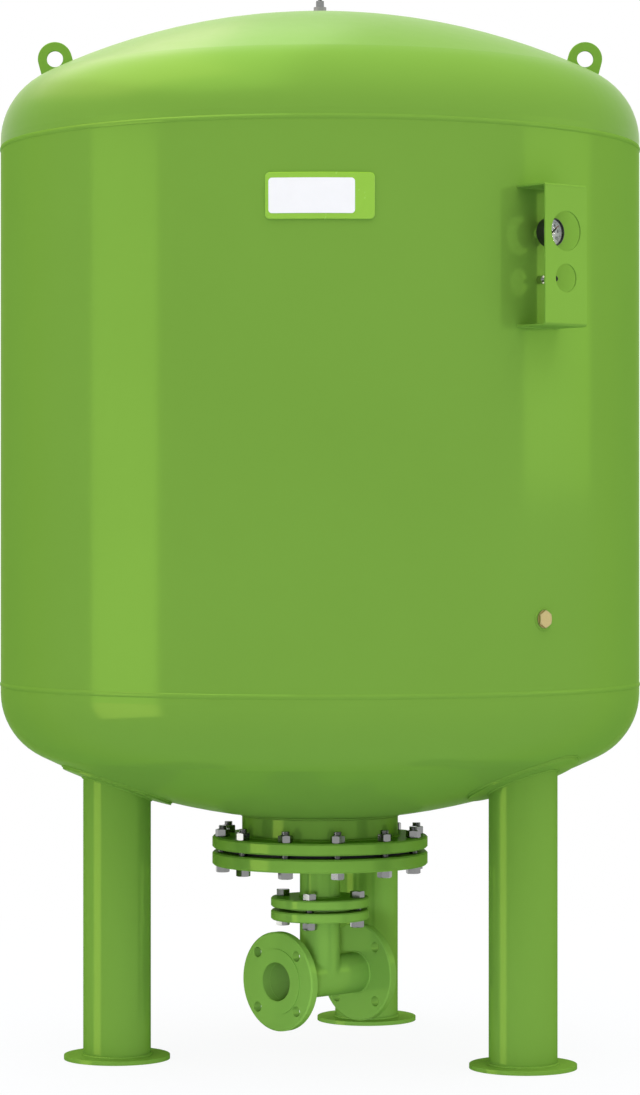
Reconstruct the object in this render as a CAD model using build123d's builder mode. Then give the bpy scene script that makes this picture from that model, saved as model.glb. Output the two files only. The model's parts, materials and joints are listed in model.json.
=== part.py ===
from build123d import *

import os
from math import atan2, cos, degrees, radians, sin, sqrt, tan

# A free-standing bladder expansion vessel of about 1500 litres, with its pipe tee, pressure gauge and
# charging valve.  Millimetres, +Z up.  The origin is on the vessel's axis at floor level and the front
# is -Y.  Angles round the vessel are degrees from the front towards +X.  Heights are stacked up from the
# floor: tee, pipe flanges, main flanges, neck, lower head, shell course, upper head.

# ---- Pressure shell ------------------------------------------------------------------------------------
tank_diameter = 1200.0
tank_wall = 6.0
course_length = 1000.0  # rolled course between the two girth seams
head_crown_radius = 1195.0
head_knuckle_radius = 130.0
head_skirt = 16.0  # straight rim of a dished head, up to its seam
seam_bead_width = 9.0
seam_bead_height = 1.6

# ---- Neck and main flange pair -------------------------------------------------------------------------
neck_diameter = 294.0
neck_wall = 8.0
neck_length = 31.5  # from the lowest point of the head down to the flange
main_flange_diameter = 406.0
vessel_flange_thickness = 22.5
cover_flange_thickness = 25.0
main_flange_chamfer = 3.0
main_bolt_circle_diameter = 371.0
main_bolt_count = 12
main_bolt_angle = 10.0
main_hole_diameter = 18.0

# ---- DN65 pipe, its flanges and the tee ----------------------------------------------------------------
pipe_diameter = 76.1
pipe_wall = 2.0
pipe_flange_diameter = 185.0
pipe_flange_thickness = 20.0  # with the raised face
raised_face_diameter = 122.0
raised_face_height = 2.0
pipe_flange_chamfer = 2.5
pipe_bolt_circle_diameter = 145.0
pipe_bolt_count = 4
pipe_bolt_angle = -15.2
pipe_hole_diameter = 19.5
gasket_thickness = 2.0
outlet_length = 81.6  # from the outlet flange's face to the cover flange
tee_branch_height = 129.0  # from the run's axis to the branch flange's face
tee_reach = 116.0  # from the vessel's axis to each run flange's face
tee_run_angle = -45.0
run_seam_angle = 20.0  # of the run's round surfaces, from the lowest point
floor_clearance = 41.6  # under the run's flanges

# ---- M16 fasteners -------------------------------------------------------------------------------------
bolt_diameter = 16.0
bolt_across_flats = 24.0
bolt_head_height = 12.5
bolt_tip_chamfer = 1.3
nut_height = 14.0
main_bolt_protrusion = 7.0  # thread showing beyond a nut
pipe_bolt_recess = 0.5  # these bolts end inside their nuts
hex_chamfer_angle = 30.0
hex_face_ratio = 0.96  # turned end face against the width across flats
hex_blank_ratio = 1.2  # round blank against the width across flats
thread_clearance = 0.05

# ---- Legs ----------------------------------------------------------------------------------------------
leg_diameter = 125.0
leg_wall = 4.0
leg_left_angle = -69.9
leg_right_angle = 55.1
leg_rear_angle = 166.7
leg_left_inset = 200.6  # from the tank's side to the leg's axis
leg_right_inset = 150.6
leg_rear_inset = 196.6
foot_diameter = 196.0
foot_thickness = 8.0
foot_edge_radius = 1.0
pad_diameter = 200.0
pad_thickness = 5.0

# ---- Lifting lugs --------------------------------------------------------------------------------------
lug_inset = 100.0  # from the tank's side to the eye
lug_eye_diameter = 31.0
lug_width = 64.0
lug_thickness = 10.0
lug_eye_rise = 30.6  # eye centre above the head below it
lug_lean = 15.0
lug_edge_chamfer = 1.0

# ---- Bladder and its top hanger ------------------------------------------------------------------------
bladder_wall = 4.0
bladder_gas_gap = 30.0  # between the bladder and the inside of the shell
bladder_neck_gap = 3.0  # between the bladder and the neck's bore
bladder_collar_diameter = 350.0
bladder_collar_thickness = 7.0
bladder_boss_diameter = 100.0
bladder_boss_thickness = 8.0
hanger_disc_diameter = 84.0
hanger_disc_thickness = 5.0
hanger_washer_thickness = 4.0
hanger_stud_diameter = 8.0
hanger_stud_projection = 5.0
hanger_stud_chamfer = 0.8
top_boss_diameter = 24.0
top_boss_height = 18.5
top_nut_across_flats = 15.0
top_nut_height = 12.0

# ---- Name plate ----------------------------------------------------------------------------------------
name_plate_width = 189.0
name_plate_height = 81.0
name_plate_corner = 8.5
name_plate_thickness = 4.0
name_plate_bevel = 1.5
name_plate_drop = 137.0  # centre below the upper seam
name_panel_width = 149.0
name_panel_height = 61.0
name_panel_corner = 6.0
name_panel_left_border = 5.7
name_panel_thickness = 0.6
name_adhesive_thickness = 0.1  # under the panel

# ---- Instrument bracket --------------------------------------------------------------------------------
bracket_angle = 40.0
bracket_width = 100.0
bracket_height = 247.5
bracket_depth = 68.0
bracket_sheet = 3.0
bracket_bend_radius = 2.0  # inside
bracket_drop = 109.0  # top below the upper seam
gauge_drop = 81.7  # gauge axis below the bracket's top
valve_drop = 163.7  # valve axis below the bracket's top
gauge_window_diameter = 70.0
valve_window_diameter = 50.0

# ---- Pressure gauge ------------------------------------------------------------------------------------
gauge_diameter = 50.0
gauge_depth = 20.0
gauge_standoff = 38.0  # face in front of the shell
gauge_case_wall = 1.5
gauge_case_back = 2.0
gauge_case_rounding = 1.2
dial_depth = 13.5  # dial's underside in front of the case's back
dial_ledge = 1.5
dial_thickness = 0.6
dial_clearance = 0.1
window_thickness = 2.0
window_rim = 1.2
window_height = 5.0  # with its rim
pointer_length = 17.0
pointer_tail = 6.0
pointer_tail_width = 3.2
pointer_tip_width = 0.4
pointer_thickness = 0.5
pointer_hub_diameter = 5.0
pointer_gap = 0.9  # above the dial
pointer_reading = 49.0  # clockwise from twelve o'clock, as read from outside
shaft_diameter = 1.6
shaft_clearance = 0.05
marker_length = 18.5
marker_width = 0.6
marker_thickness = 0.4
marker_hub_diameter = 4.0
marker_gap = 0.6  # above the pointer
marker_stub_diameter = 1.8
marker_stub_rise = 0.5
socket_diameter = 20.0
socket_height = 8.0
stem_diameter = 10.0
stem_hex_across_flats = 14.0
stem_bore = 3.0
stem_inner_reach = 1.5  # inside the case's back
stem_tail = 6.0  # inside the tank's wall
movement_plate_width = 8.0
movement_plate_thickness = 1.0
sector_radius = 11.7
pinion_radius = 1.3
sector_mesh_clearance = 0.1
sector_thickness = 1.0
sector_half_angle = 27.0
sector_hub_diameter = 4.2
sector_pin_diameter = 2.0
sector_gap = 0.3
bourdon_radius = 19.3
bourdon_breadth = 4.0
bourdon_depth = 1.6
bourdon_wall = 0.4
bourdon_sweep = 250.0
bourdon_block_sweep = 24.0
bourdon_block_depth = 5.0
bourdon_tip_sweep = 8.0

# ---- Charging valve ------------------------------------------------------------------------------------
valve_hex_across_flats = 14.0
valve_hex_height = 12.0
valve_stem_diameter = 8.0
valve_stem_end = 34.0  # stem's mouth in front of the shell
valve_tail_diameter = 10.0
valve_tail = 6.0  # inside the tank's wall
valve_land_inner = 22.0  # guide land's inner end in front of the shell
valve_land_length = 4.0
valve_mouth_diameter = 5.0
valve_chamber_diameter = 4.0
valve_seat_bore = 2.8
valve_seat_end = 10.4  # spring seat's face in front of the shell
valve_seat_length = 4.4
valve_pin_diameter = 2.2
valve_pin_recess = 0.5  # tip inside the mouth
valve_pin_tail = 3.0  # pin's inner end behind the spring seat's face
valve_pin_clearance = 0.05
valve_disc_diameter = 3.7
valve_disc_thickness = 1.4
valve_disc_gap = 0.3
valve_travel = 1.5
valve_travel_margin = 0.1
spring_wire = 0.35
spring_turns = 6
spring_radial_gap = 0.27
cap_diameter = 10.5
cap_length = 19.5
cap_end = 43.5  # end in front of the shell
cap_wall = 1.4
cap_clearance = 0.08
cap_edge_radius = 1.0

# ---- Rupture-detector connection -----------------------------------------------------------------------
rupture_angle = 41.0
rupture_rise = 131.0  # above the lower seam
rupture_socket_diameter = 40.0
rupture_socket_height = 1.2
rupture_socket_chamfer = 0.6
rupture_bore = 24.0
plug_seal_thickness = 0.8
plug_collar_diameter = 32.0
plug_collar_height = 1.0
plug_across_flats = 28.0
plug_hex_height = 4.0
plug_corner_angle = 30.0  # turns two corners upright
plug_shank_length = 14.0

# ---- Heights and radii that follow ---------------------------------------------------------------------
tank_radius = tank_diameter / 2
neck_radius = neck_diameter / 2
neck_bore_radius = neck_radius - neck_wall
pipe_radius = pipe_diameter / 2
pipe_bore_radius = pipe_radius - pipe_wall

knuckle_centre_radius = tank_radius - head_knuckle_radius
crown_setback = sqrt((head_crown_radius - head_knuckle_radius) ** 2 - knuckle_centre_radius**2)
crown_height = head_crown_radius - crown_setback
knuckle_angle = degrees(atan2(crown_setback, knuckle_centre_radius))

tee_axis = floor_clearance + pipe_flange_diameter / 2
tee_top_face = tee_axis + tee_branch_height
outlet_face = tee_top_face + gasket_thickness
outlet_flange_top = outlet_face + pipe_flange_thickness
cover_bottom = outlet_face + outlet_length
cover_top = cover_bottom + cover_flange_thickness
vessel_flange_bottom = cover_top + bladder_collar_thickness
vessel_flange_top = vessel_flange_bottom + vessel_flange_thickness
head_bottom = vessel_flange_top + neck_length
lower_tangent = head_bottom + crown_height
lower_seam = lower_tangent + head_skirt
upper_seam = lower_seam + course_length
upper_tangent = upper_seam + head_skirt
head_top = upper_tangent + crown_height

bladder_inset = tank_wall + bladder_gas_gap
bladder_top = head_top - bladder_inset
bladder_neck_radius = neck_bore_radius - bladder_neck_gap
top_boss_top = head_top + top_boss_height
top_nut_top = top_boss_top + top_nut_height
lug_eye_radius_from_axis = tank_radius - lug_inset

bracket_top = upper_seam - bracket_drop
gauge_height = bracket_top - gauge_drop
valve_height = bracket_top - valve_drop
gauge_back = tank_radius + gauge_standoff - gauge_depth
stem_end = gauge_back + gauge_case_back + stem_inner_reach
dial_back = gauge_back + dial_depth
dial_front = dial_back + dial_thickness
pointer_back = dial_front + pointer_gap
marker_back = pointer_back + pointer_thickness + marker_gap
window_front = dial_front + window_height
movement_front = stem_end + movement_plate_thickness
sector_back = movement_front + sector_gap
sector_offset = sector_radius + pinion_radius + sector_mesh_clearance
rupture_height = lower_seam + rupture_rise


# ---- Planes and shared shapes --------------------------------------------------------------------------
def level(height):
    """Horizontal plane at this height above the floor."""
    return Plane.XY.offset(height)


def hanging(height):
    """Horizontal plane at this height that faces down, its x still along +X."""
    return Plane(origin=(0, 0, height), x_dir=(1, 0, 0), z_dir=(0, 0, -1))


def outward(angle):
    """Unit vector away from the axis at this angle round the vessel."""
    return Vector(sin(radians(angle)), -cos(radians(angle)), 0)


def outward_plane(angle, radius, height):
    """Upright plane that faces away from the axis: x sideways, y up, z outwards."""
    facing = outward(angle)
    sideways = Vector(cos(radians(angle)), sin(radians(angle)), 0)
    return Plane(origin=facing * radius + Vector(0, 0, height), x_dir=sideways, z_dir=facing)


def turned(plane, angle):
    """The same plane with its x and y turned about its z."""
    x_dir = plane.x_dir.rotate(Axis((0, 0, 0), plane.z_dir), angle)
    return Plane(origin=plane.origin, x_dir=x_dir, z_dir=plane.z_dir)


def gauge_plane(radius):
    """Plane across the gauge's axis at this distance from the vessel's axis."""
    return outward_plane(bracket_angle, radius, gauge_height)


def valve_plane(radius):
    """Plane across the charging valve's axis at this distance from the vessel's axis."""
    return outward_plane(bracket_angle, radius, valve_height)


def rupture_plane(radius):
    """Plane across the rupture connection's axis at this distance from the vessel's axis."""
    return outward_plane(rupture_angle, radius, rupture_height)


def head_rise(radius, outset=0.0):
    """Height of a dished head's surface beyond its tangent line at this radius."""
    crown = head_crown_radius + outset
    if radius <= crown * cos(radians(knuckle_angle)):
        return sqrt(crown**2 - radius**2) - crown_setback
    return sqrt((head_knuckle_radius + outset) ** 2 - (radius - knuckle_centre_radius) ** 2)


def vessel_blank(outset):
    """Filled outline of both heads and the course, its surface moved outwards by outset."""
    crown = head_crown_radius + outset
    knuckle = head_knuckle_radius + outset
    crown_sweep = 90 - knuckle_angle
    with BuildPart() as blank:
        with BuildSketch(Plane.XZ):
            with BuildLine():
                CenterArc((0, lower_tangent + crown_setback), crown, -90, crown_sweep)
                CenterArc((knuckle_centre_radius, lower_tangent), knuckle, -knuckle_angle, knuckle_angle)
                Line((tank_radius + outset, lower_tangent), (tank_radius + outset, upper_tangent))
                CenterArc((knuckle_centre_radius, upper_tangent), knuckle, 0, knuckle_angle)
                CenterArc((0, upper_tangent - crown_setback), crown, knuckle_angle, crown_sweep)
                Line((0, head_top + outset), (0, head_bottom - outset))
            make_face()
        revolve(axis=Axis.Z)
    return blank


def save(piece, name):
    """Label a finished piece and write its STEP file."""
    piece.part.label = name
    export_step(piece.part, f"parts/{name}.step")


os.makedirs("parts", exist_ok=True)

vessel_outside = vessel_blank(0)
vessel_inside = vessel_blank(-tank_wall)
pad_outside = vessel_blank(pad_thickness)

# ---- Pressure shell ------------------------------------------------------------------------------------
with BuildPart() as hull:
    add(vessel_outside.part)
    add(vessel_inside.part, mode=Mode.SUBTRACT)

with BuildPart() as shell:
    add(hull.part)
    split(bisect_by=level(lower_seam), keep=Keep.TOP)
    split(bisect_by=level(upper_seam), keep=Keep.BOTTOM)
    with BuildSketch(gauge_plane(tank_radius - 2 * tank_wall)):
        Circle(stem_diameter / 2)
    with BuildSketch(valve_plane(tank_radius - 2 * tank_wall)):
        Circle(valve_tail_diameter / 2)
    with BuildSketch(rupture_plane(tank_radius - 2 * tank_wall)):
        Circle(rupture_socket_diameter / 2)
    extrude(amount=3 * tank_wall, mode=Mode.SUBTRACT)
save(shell, "shell")

with BuildPart() as upper_head:
    add(hull.part)
    split(bisect_by=level(upper_seam), keep=Keep.TOP)
    with BuildSketch(level(head_top)):
        Circle(top_boss_diameter / 2)
    extrude(amount=2 * tank_wall, both=True, mode=Mode.SUBTRACT)
save(upper_head, "upper_head")

with BuildPart() as lower_head:
    add(hull.part)
    split(bisect_by=level(lower_seam), keep=Keep.BOTTOM)
    with BuildSketch(level(vessel_flange_top)):
        Circle(neck_radius)
    extrude(amount=lower_tangent - vessel_flange_top, mode=Mode.SUBTRACT)
save(lower_head, "lower_head")

with BuildPart() as girth_welds:
    with BuildSketch(Plane.XZ):
        for seam in (lower_seam, upper_seam):
            with BuildLine():
                ThreePointArc(
                    (tank_radius, seam - seam_bead_width / 2),
                    (tank_radius + seam_bead_height, seam),
                    (tank_radius, seam + seam_bead_width / 2),
                )
                Line((tank_radius, seam + seam_bead_width / 2), (tank_radius, seam - seam_bead_width / 2))
            make_face()
    revolve(axis=Axis.Z)
save(girth_welds, "girth_welds")

# ---- Neck and main flanges -----------------------------------------------------------------------------
neck_top = lower_tangent - head_rise(neck_radius, -tank_wall)

with BuildPart() as neck:
    with BuildSketch(level(vessel_flange_top)):
        Circle(neck_radius)
        Circle(neck_bore_radius, mode=Mode.SUBTRACT)
    extrude(amount=neck_top - vessel_flange_top)
save(neck, "neck")


def main_flange(bottom, thickness, bore_radius):
    """Flat ring of the main flange pair with its bolt holes."""
    first_hole = main_bolt_angle - 90
    with BuildPart() as flange:
        with BuildSketch(level(bottom)):
            Circle(main_flange_diameter / 2)
        extrude(amount=thickness)
        chamfer(flange.edges().filter_by(GeomType.CIRCLE), length=main_flange_chamfer)
        with BuildSketch(level(bottom)):
            Circle(bore_radius)
            with PolarLocations(main_bolt_circle_diameter / 2, main_bolt_count, start_angle=first_hole):
                Circle(main_hole_diameter / 2)
        extrude(amount=thickness, mode=Mode.SUBTRACT)
    return flange


vessel_flange = main_flange(vessel_flange_bottom, vessel_flange_thickness, neck_bore_radius)
save(vessel_flange, "vessel_flange")

cover_flange = main_flange(cover_bottom, cover_flange_thickness, pipe_radius)
save(cover_flange, "cover_flange")

# ---- Outlet pipe, tee and their flanges ----------------------------------------------------------------
with BuildPart() as outlet_pipe:
    with BuildSketch(level(outlet_face)):
        Circle(pipe_radius)
        Circle(pipe_bore_radius, mode=Mode.SUBTRACT)
    extrude(amount=cover_top - outlet_face)
save(outlet_pipe, "outlet_pipe")


def pipe_flange(face, first_hole):
    """Slip-on flange behind its sealing face, which looks along the plane's z."""
    with BuildPart() as flange:
        with BuildSketch(face.offset(-raised_face_height)):
            Circle(pipe_flange_diameter / 2)
        extrude(amount=raised_face_height - pipe_flange_thickness)
        chamfer(flange.edges().filter_by(GeomType.CIRCLE), length=pipe_flange_chamfer)
        with BuildSketch(face):
            Circle(raised_face_diameter / 2)
        extrude(amount=-raised_face_height)
        with BuildSketch(face):
            Circle(pipe_radius)
            with PolarLocations(pipe_bolt_circle_diameter / 2, pipe_bolt_count, start_angle=first_hole):
                Circle(pipe_hole_diameter / 2)
        extrude(amount=-pipe_flange_thickness, mode=Mode.SUBTRACT)
    return flange


# Run flanges have their holes either side of the vertical.  The run's own circles start near the bottom,
# so that the seam of its surface stays clear of the branch.
run_hole_angle = 180 / pipe_bolt_count
tee_front_face = outward_plane(tee_run_angle, tee_reach, tee_axis)
tee_rear_face = outward_plane(tee_run_angle + 180, tee_reach, tee_axis)

save(pipe_flange(hanging(outlet_face), 90 - pipe_bolt_angle), "outlet_flange")
save(pipe_flange(level(tee_top_face), pipe_bolt_angle - 90), "tee_top_flange")
save(pipe_flange(tee_front_face, run_hole_angle), "tee_front_flange")
save(pipe_flange(tee_rear_face, run_hole_angle), "tee_rear_flange")

run_end = turned(tee_front_face, run_seam_angle - 90)

with BuildPart() as tee_body:
    with BuildSketch(run_end):
        Circle(pipe_radius)
    extrude(amount=-2 * tee_reach)
    with BuildSketch(level(tee_axis)):
        Circle(pipe_radius)
    extrude(amount=tee_branch_height)
    with BuildSketch(run_end):
        Circle(pipe_bore_radius)
    extrude(amount=-2 * tee_reach, mode=Mode.SUBTRACT)
    with BuildSketch(level(tee_axis)):
        Circle(pipe_bore_radius)
    extrude(amount=tee_branch_height, mode=Mode.SUBTRACT)
save(tee_body, "tee_body")

with BuildPart() as outlet_gasket:
    with BuildSketch(level(tee_top_face)):
        Circle(raised_face_diameter / 2)
        Circle(pipe_radius, mode=Mode.SUBTRACT)
    extrude(amount=gasket_thickness)
save(outlet_gasket, "outlet_gasket")


# ---- Fasteners -----------------------------------------------------------------------------------------
def hex_block(across_flats, height):
    """Hexagon on the XY plane with the corners of its top turned off."""
    blank_radius = hex_blank_ratio * across_flats / 2
    face_radius = hex_face_ratio * across_flats / 2
    drop = (blank_radius - face_radius) * tan(radians(hex_chamfer_angle))
    with BuildPart() as block:
        with BuildSketch():
            RegularPolygon(across_flats / 2, side_count=6, major_radius=False)
        extrude(amount=height)
        with BuildSketch(Plane.XZ):
            with BuildLine():
                Polyline(
                    (0, 0),
                    (blank_radius, 0),
                    (blank_radius, height - drop),
                    (face_radius, height),
                    (0, height),
                    close=True,
                )
            make_face()
        revolve(axis=Axis.Z, mode=Mode.INTERSECT)
    return block


def hex_bolt(shank_length):
    """Hexagon bolt, its head's bearing face on the XY plane and its shank upwards."""
    head = hex_block(bolt_across_flats, bolt_head_height)
    with BuildPart(hanging(0)) as bolt:
        add(head.part)
        with BuildSketch(Plane.XY):
            Circle(bolt_diameter / 2)
        extrude(amount=shank_length)
        tip = bolt.edges().filter_by(GeomType.CIRCLE).sort_by(Axis.Z)[-1]
        chamfer(tip, length=bolt_tip_chamfer)
    return bolt


def hex_nut(bore_diameter):
    """Hexagon nut that stands on the XY plane."""
    block = hex_block(bolt_across_flats, nut_height)
    with BuildPart() as nut:
        add(block.part)
        with BuildSketch():
            Circle(bore_diameter / 2)
        extrude(amount=nut_height, mode=Mode.SUBTRACT)
    return nut


def ring_of(piece, plane, circle, count, first):
    """Copies of a fastener round a bolt circle, standing on this plane."""
    with BuildPart(plane) as group:
        with PolarLocations(circle / 2, count, start_angle=first):
            add(piece.part)
    return group


nut_bore = bolt_diameter + 2 * thread_clearance
main_grip = vessel_flange_top - cover_bottom
main_bolt = hex_bolt(main_grip + nut_height + main_bolt_protrusion)
main_pattern = (main_bolt_circle_diameter, main_bolt_count, main_bolt_angle - 90)
main_flange_bolts = ring_of(main_bolt, level(cover_bottom), *main_pattern)
main_flange_nuts = ring_of(hex_nut(nut_bore), level(vessel_flange_top), *main_pattern)
save(main_flange_bolts, "main_flange_bolts")
save(main_flange_nuts, "main_flange_nuts")

tee_flange_bottom = tee_top_face - pipe_flange_thickness
pipe_grip = outlet_flange_top - tee_flange_bottom
pipe_bolt = hex_bolt(pipe_grip + nut_height - pipe_bolt_recess)
pipe_pattern = (pipe_bolt_circle_diameter, pipe_bolt_count, 90 - pipe_bolt_angle)
outlet_bolts = ring_of(pipe_bolt, hanging(outlet_flange_top), *pipe_pattern)
outlet_nuts = ring_of(hex_nut(nut_bore), hanging(tee_flange_bottom), *pipe_pattern)
save(outlet_bolts, "outlet_bolts")
save(outlet_nuts, "outlet_nuts")


# ---- Legs ----------------------------------------------------------------------------------------------
def leg_plane(angle, inset, height):
    """Horizontal plane centred on a leg."""
    return Plane(origin=outward(angle) * (tank_radius - inset) + Vector(0, 0, height))


def leg_foot(angle, inset):
    """Round base plate on the floor."""
    with BuildPart() as foot:
        with BuildSketch(leg_plane(angle, inset, 0)):
            Circle(foot_diameter / 2)
        extrude(amount=foot_thickness)
        fillet(foot.edges().sort_by(Axis.Z)[-1], radius=foot_edge_radius)
    return foot


def leg_tube(angle, inset):
    """Upright tube from its foot to the pad, cut to the pad's shape."""
    with BuildPart() as tube:
        with BuildSketch(leg_plane(angle, inset, foot_thickness)):
            Circle(leg_diameter / 2)
            Circle(leg_diameter / 2 - leg_wall, mode=Mode.SUBTRACT)
        extrude(amount=lower_tangent - foot_thickness)
        add(pad_outside.part, mode=Mode.SUBTRACT)
    return tube


def leg_pad(angle, inset):
    """Round doubling plate between the leg and the head, dished as the head is."""
    with BuildPart() as pad:
        with BuildSketch(leg_plane(angle, inset, 0)):
            Circle(pad_diameter / 2)
        extrude(amount=lower_tangent)
        add(pad_outside.part, mode=Mode.INTERSECT)
        add(vessel_outside.part, mode=Mode.SUBTRACT)
    return pad


leg_places = (
    ("left", leg_left_angle, leg_left_inset),
    ("right", leg_right_angle, leg_right_inset),
    ("rear", leg_rear_angle, leg_rear_inset),
)
for place, angle, inset in leg_places:
    save(leg_foot(angle, inset), f"foot_plate_{place}")
    save(leg_tube(angle, inset), f"leg_{place}")
    save(leg_pad(angle, inset), f"leg_pad_{place}")


# ---- Lifting lugs --------------------------------------------------------------------------------------
def lifting_lug(side):
    """Upright eye plate on the upper head at +X for side 1 and at -X for side -1."""
    eye_height = upper_tangent + head_rise(lug_eye_radius_from_axis) + lug_eye_rise
    lean = radians(lug_lean)
    eye = Plane(
        origin=(side * lug_eye_radius_from_axis, 0, eye_height),
        x_dir=(cos(lean), 0, -side * sin(lean)),
        z_dir=(0, -1, 0),
    )
    root_length = 3 * lug_eye_rise
    with BuildPart() as lug:
        with BuildSketch(eye):
            Circle(lug_width / 2)
            Rectangle(lug_width, root_length, align=(Align.CENTER, Align.MAX))
        extrude(amount=lug_thickness / 2, both=True)
        chamfer(lug.faces().filter_by(Axis.Y).edges(), length=lug_edge_chamfer)
        with BuildSketch(eye):
            Circle(lug_eye_diameter / 2)
        extrude(amount=lug_thickness / 2, both=True, mode=Mode.SUBTRACT)
        add(vessel_outside.part, mode=Mode.SUBTRACT)
    return lug


save(lifting_lug(-1), "lifting_lug_left")
save(lifting_lug(1), "lifting_lug_right")

# ---- Bladder and its hanger ----------------------------------------------------------------------------
bladder_outside = vessel_blank(-bladder_inset)
bladder_inside = vessel_blank(-bladder_inset - bladder_wall)
bladder_neck_length = lower_tangent - cover_top
bladder_boss_bottom = bladder_top - bladder_boss_thickness

with BuildPart() as bladder:
    add(bladder_outside.part)
    with BuildSketch(level(cover_top)):
        Circle(bladder_neck_radius)
    extrude(amount=bladder_neck_length)
    add(bladder_inside.part, mode=Mode.SUBTRACT)
    with BuildSketch(level(cover_top)):
        Circle(bladder_neck_radius - bladder_wall)
    extrude(amount=bladder_neck_length, mode=Mode.SUBTRACT)
    with BuildSketch(level(cover_top)):
        Circle(bladder_collar_diameter / 2)
        Circle(bladder_neck_radius - bladder_wall, mode=Mode.SUBTRACT)
    extrude(amount=bladder_collar_thickness)
    with BuildSketch(level(bladder_boss_bottom)):
        Circle(bladder_boss_diameter / 2)
    extrude(amount=bladder_boss_thickness)
    with BuildSketch(level(bladder_boss_bottom)):
        Circle(hanger_stud_diameter / 2 + thread_clearance)
    extrude(amount=bladder_inset, mode=Mode.SUBTRACT)
save(bladder, "bladder")

hanger_washer_top = bladder_top + hanger_washer_thickness

with BuildPart() as hanger_washer:
    with BuildSketch(level(bladder_top)):
        Circle(hanger_disc_diameter / 2)
        Circle(hanger_stud_diameter / 2 + thread_clearance, mode=Mode.SUBTRACT)
    extrude(amount=hanger_washer_thickness)
save(hanger_washer, "hanger_washer")

with BuildPart() as hanger_disc:
    with BuildSketch(level(bladder_boss_bottom)):
        Circle(hanger_disc_diameter / 2)
    extrude(amount=-hanger_disc_thickness)
save(hanger_disc, "hanger_disc")

with BuildPart() as hanger_stud:
    with BuildSketch(level(bladder_boss_bottom)):
        Circle(hanger_stud_diameter / 2)
    extrude(amount=top_nut_top + hanger_stud_projection - bladder_boss_bottom)
    chamfer(hanger_stud.edges().sort_by(Axis.Z)[-1], length=hanger_stud_chamfer)
save(hanger_stud, "hanger_stud")

with BuildPart() as top_boss:
    with BuildSketch(level(hanger_washer_top)):
        Circle(top_boss_diameter / 2)
        Circle(hanger_stud_diameter / 2 + thread_clearance, mode=Mode.SUBTRACT)
    extrude(amount=top_boss_top - hanger_washer_top)
save(top_boss, "top_boss")

top_nut_block = hex_block(top_nut_across_flats, top_nut_height)

with BuildPart(level(top_boss_top)) as top_nut:
    add(top_nut_block.part)
    with BuildSketch(level(top_boss_top)):
        Circle(hanger_stud_diameter / 2 + thread_clearance)
    extrude(amount=top_nut_height, mode=Mode.SUBTRACT)
save(top_nut, "top_nut")

# ---- Name plate ----------------------------------------------------------------------------------------
name_height = upper_seam - name_plate_drop
panel_radius = tank_radius + name_plate_thickness + name_adhesive_thickness
panel_shift = name_panel_left_border + name_panel_width / 2 - name_plate_width / 2


def curved_plate(width, height, corner, shift, inner_radius, thickness):
    """Rounded rectangle bent round the front of the vessel."""
    with BuildPart() as plate:
        with BuildSketch(outward_plane(0, tank_radius / 2, name_height)):
            with Locations((shift, 0)):
                RectangleRounded(width, height, corner)
        extrude(amount=tank_radius)
        with BuildSketch(level(name_height - height)):
            Circle(inner_radius + thickness)
            Circle(inner_radius, mode=Mode.SUBTRACT)
        extrude(amount=2 * height, mode=Mode.INTERSECT)
    return plate


plate_blank = curved_plate(
    name_plate_width, name_plate_height, name_plate_corner, 0, tank_radius, name_plate_thickness
)
with BuildPart() as name_plate:
    add(plate_blank.part)
    outer_face = name_plate.faces().sort_by(Axis.Y)[0]
    chamfer(outer_face.edges(), length=name_plate_bevel)
save(name_plate, "name_plate")

name_panel = curved_plate(
    name_panel_width, name_panel_height, name_panel_corner, panel_shift, panel_radius, name_panel_thickness
)
save(name_panel, "name_panel")

# ---- Instrument bracket --------------------------------------------------------------------------------
# Its side view: x outwards from the vessel's axis, y up, z across the bracket.
across = outward(bracket_angle).cross(Vector(0, 0, 1))
bracket_side = Plane(origin=(0, 0, bracket_top), x_dir=outward(bracket_angle), z_dir=across)
bracket_front = tank_radius + bracket_depth
outer_bend = bracket_bend_radius + bracket_sheet

with BuildPart() as gauge_bracket:
    with BuildSketch(bracket_side):
        with BuildLine():
            FilletPolyline(
                (tank_radius - bracket_width / 2, 0),
                (bracket_front, 0),
                (bracket_front, -bracket_height),
                (tank_radius - bracket_width / 2, -bracket_height),
                radius=outer_bend,
            )
            Line(
                (tank_radius - bracket_width / 2, -bracket_height),
                (tank_radius - bracket_width / 2, -bracket_height + bracket_sheet),
            )
            FilletPolyline(
                (tank_radius - bracket_width / 2, -bracket_height + bracket_sheet),
                (bracket_front - bracket_sheet, -bracket_height + bracket_sheet),
                (bracket_front - bracket_sheet, -bracket_sheet),
                (tank_radius - bracket_width / 2, -bracket_sheet),
                radius=bracket_bend_radius,
            )
            Line((tank_radius - bracket_width / 2, -bracket_sheet), (tank_radius - bracket_width / 2, 0))
        make_face()
    extrude(amount=bracket_width / 2, both=True)
    with BuildSketch(gauge_plane(bracket_front - 2 * bracket_sheet)):
        Circle(gauge_window_diameter / 2)
    with BuildSketch(valve_plane(bracket_front - 2 * bracket_sheet)):
        Circle(valve_window_diameter / 2)
    extrude(amount=3 * bracket_sheet, mode=Mode.SUBTRACT)
    add(vessel_outside.part, mode=Mode.SUBTRACT)
save(gauge_bracket, "gauge_bracket")


# ---- Pressure gauge ------------------------------------------------------------------------------------
def weld_socket(plane, diameter, bore, height):
    """Short round socket whose inner end is shaped to the tank."""
    with BuildPart() as socket:
        with BuildSketch(plane(tank_radius - 2 * tank_wall)):
            Circle(diameter / 2)
            Circle(bore / 2, mode=Mode.SUBTRACT)
        extrude(amount=2 * tank_wall + height)
        add(vessel_outside.part, mode=Mode.SUBTRACT)
    return socket


save(weld_socket(gauge_plane, socket_diameter, stem_diameter, socket_height), "gauge_socket")

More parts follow.
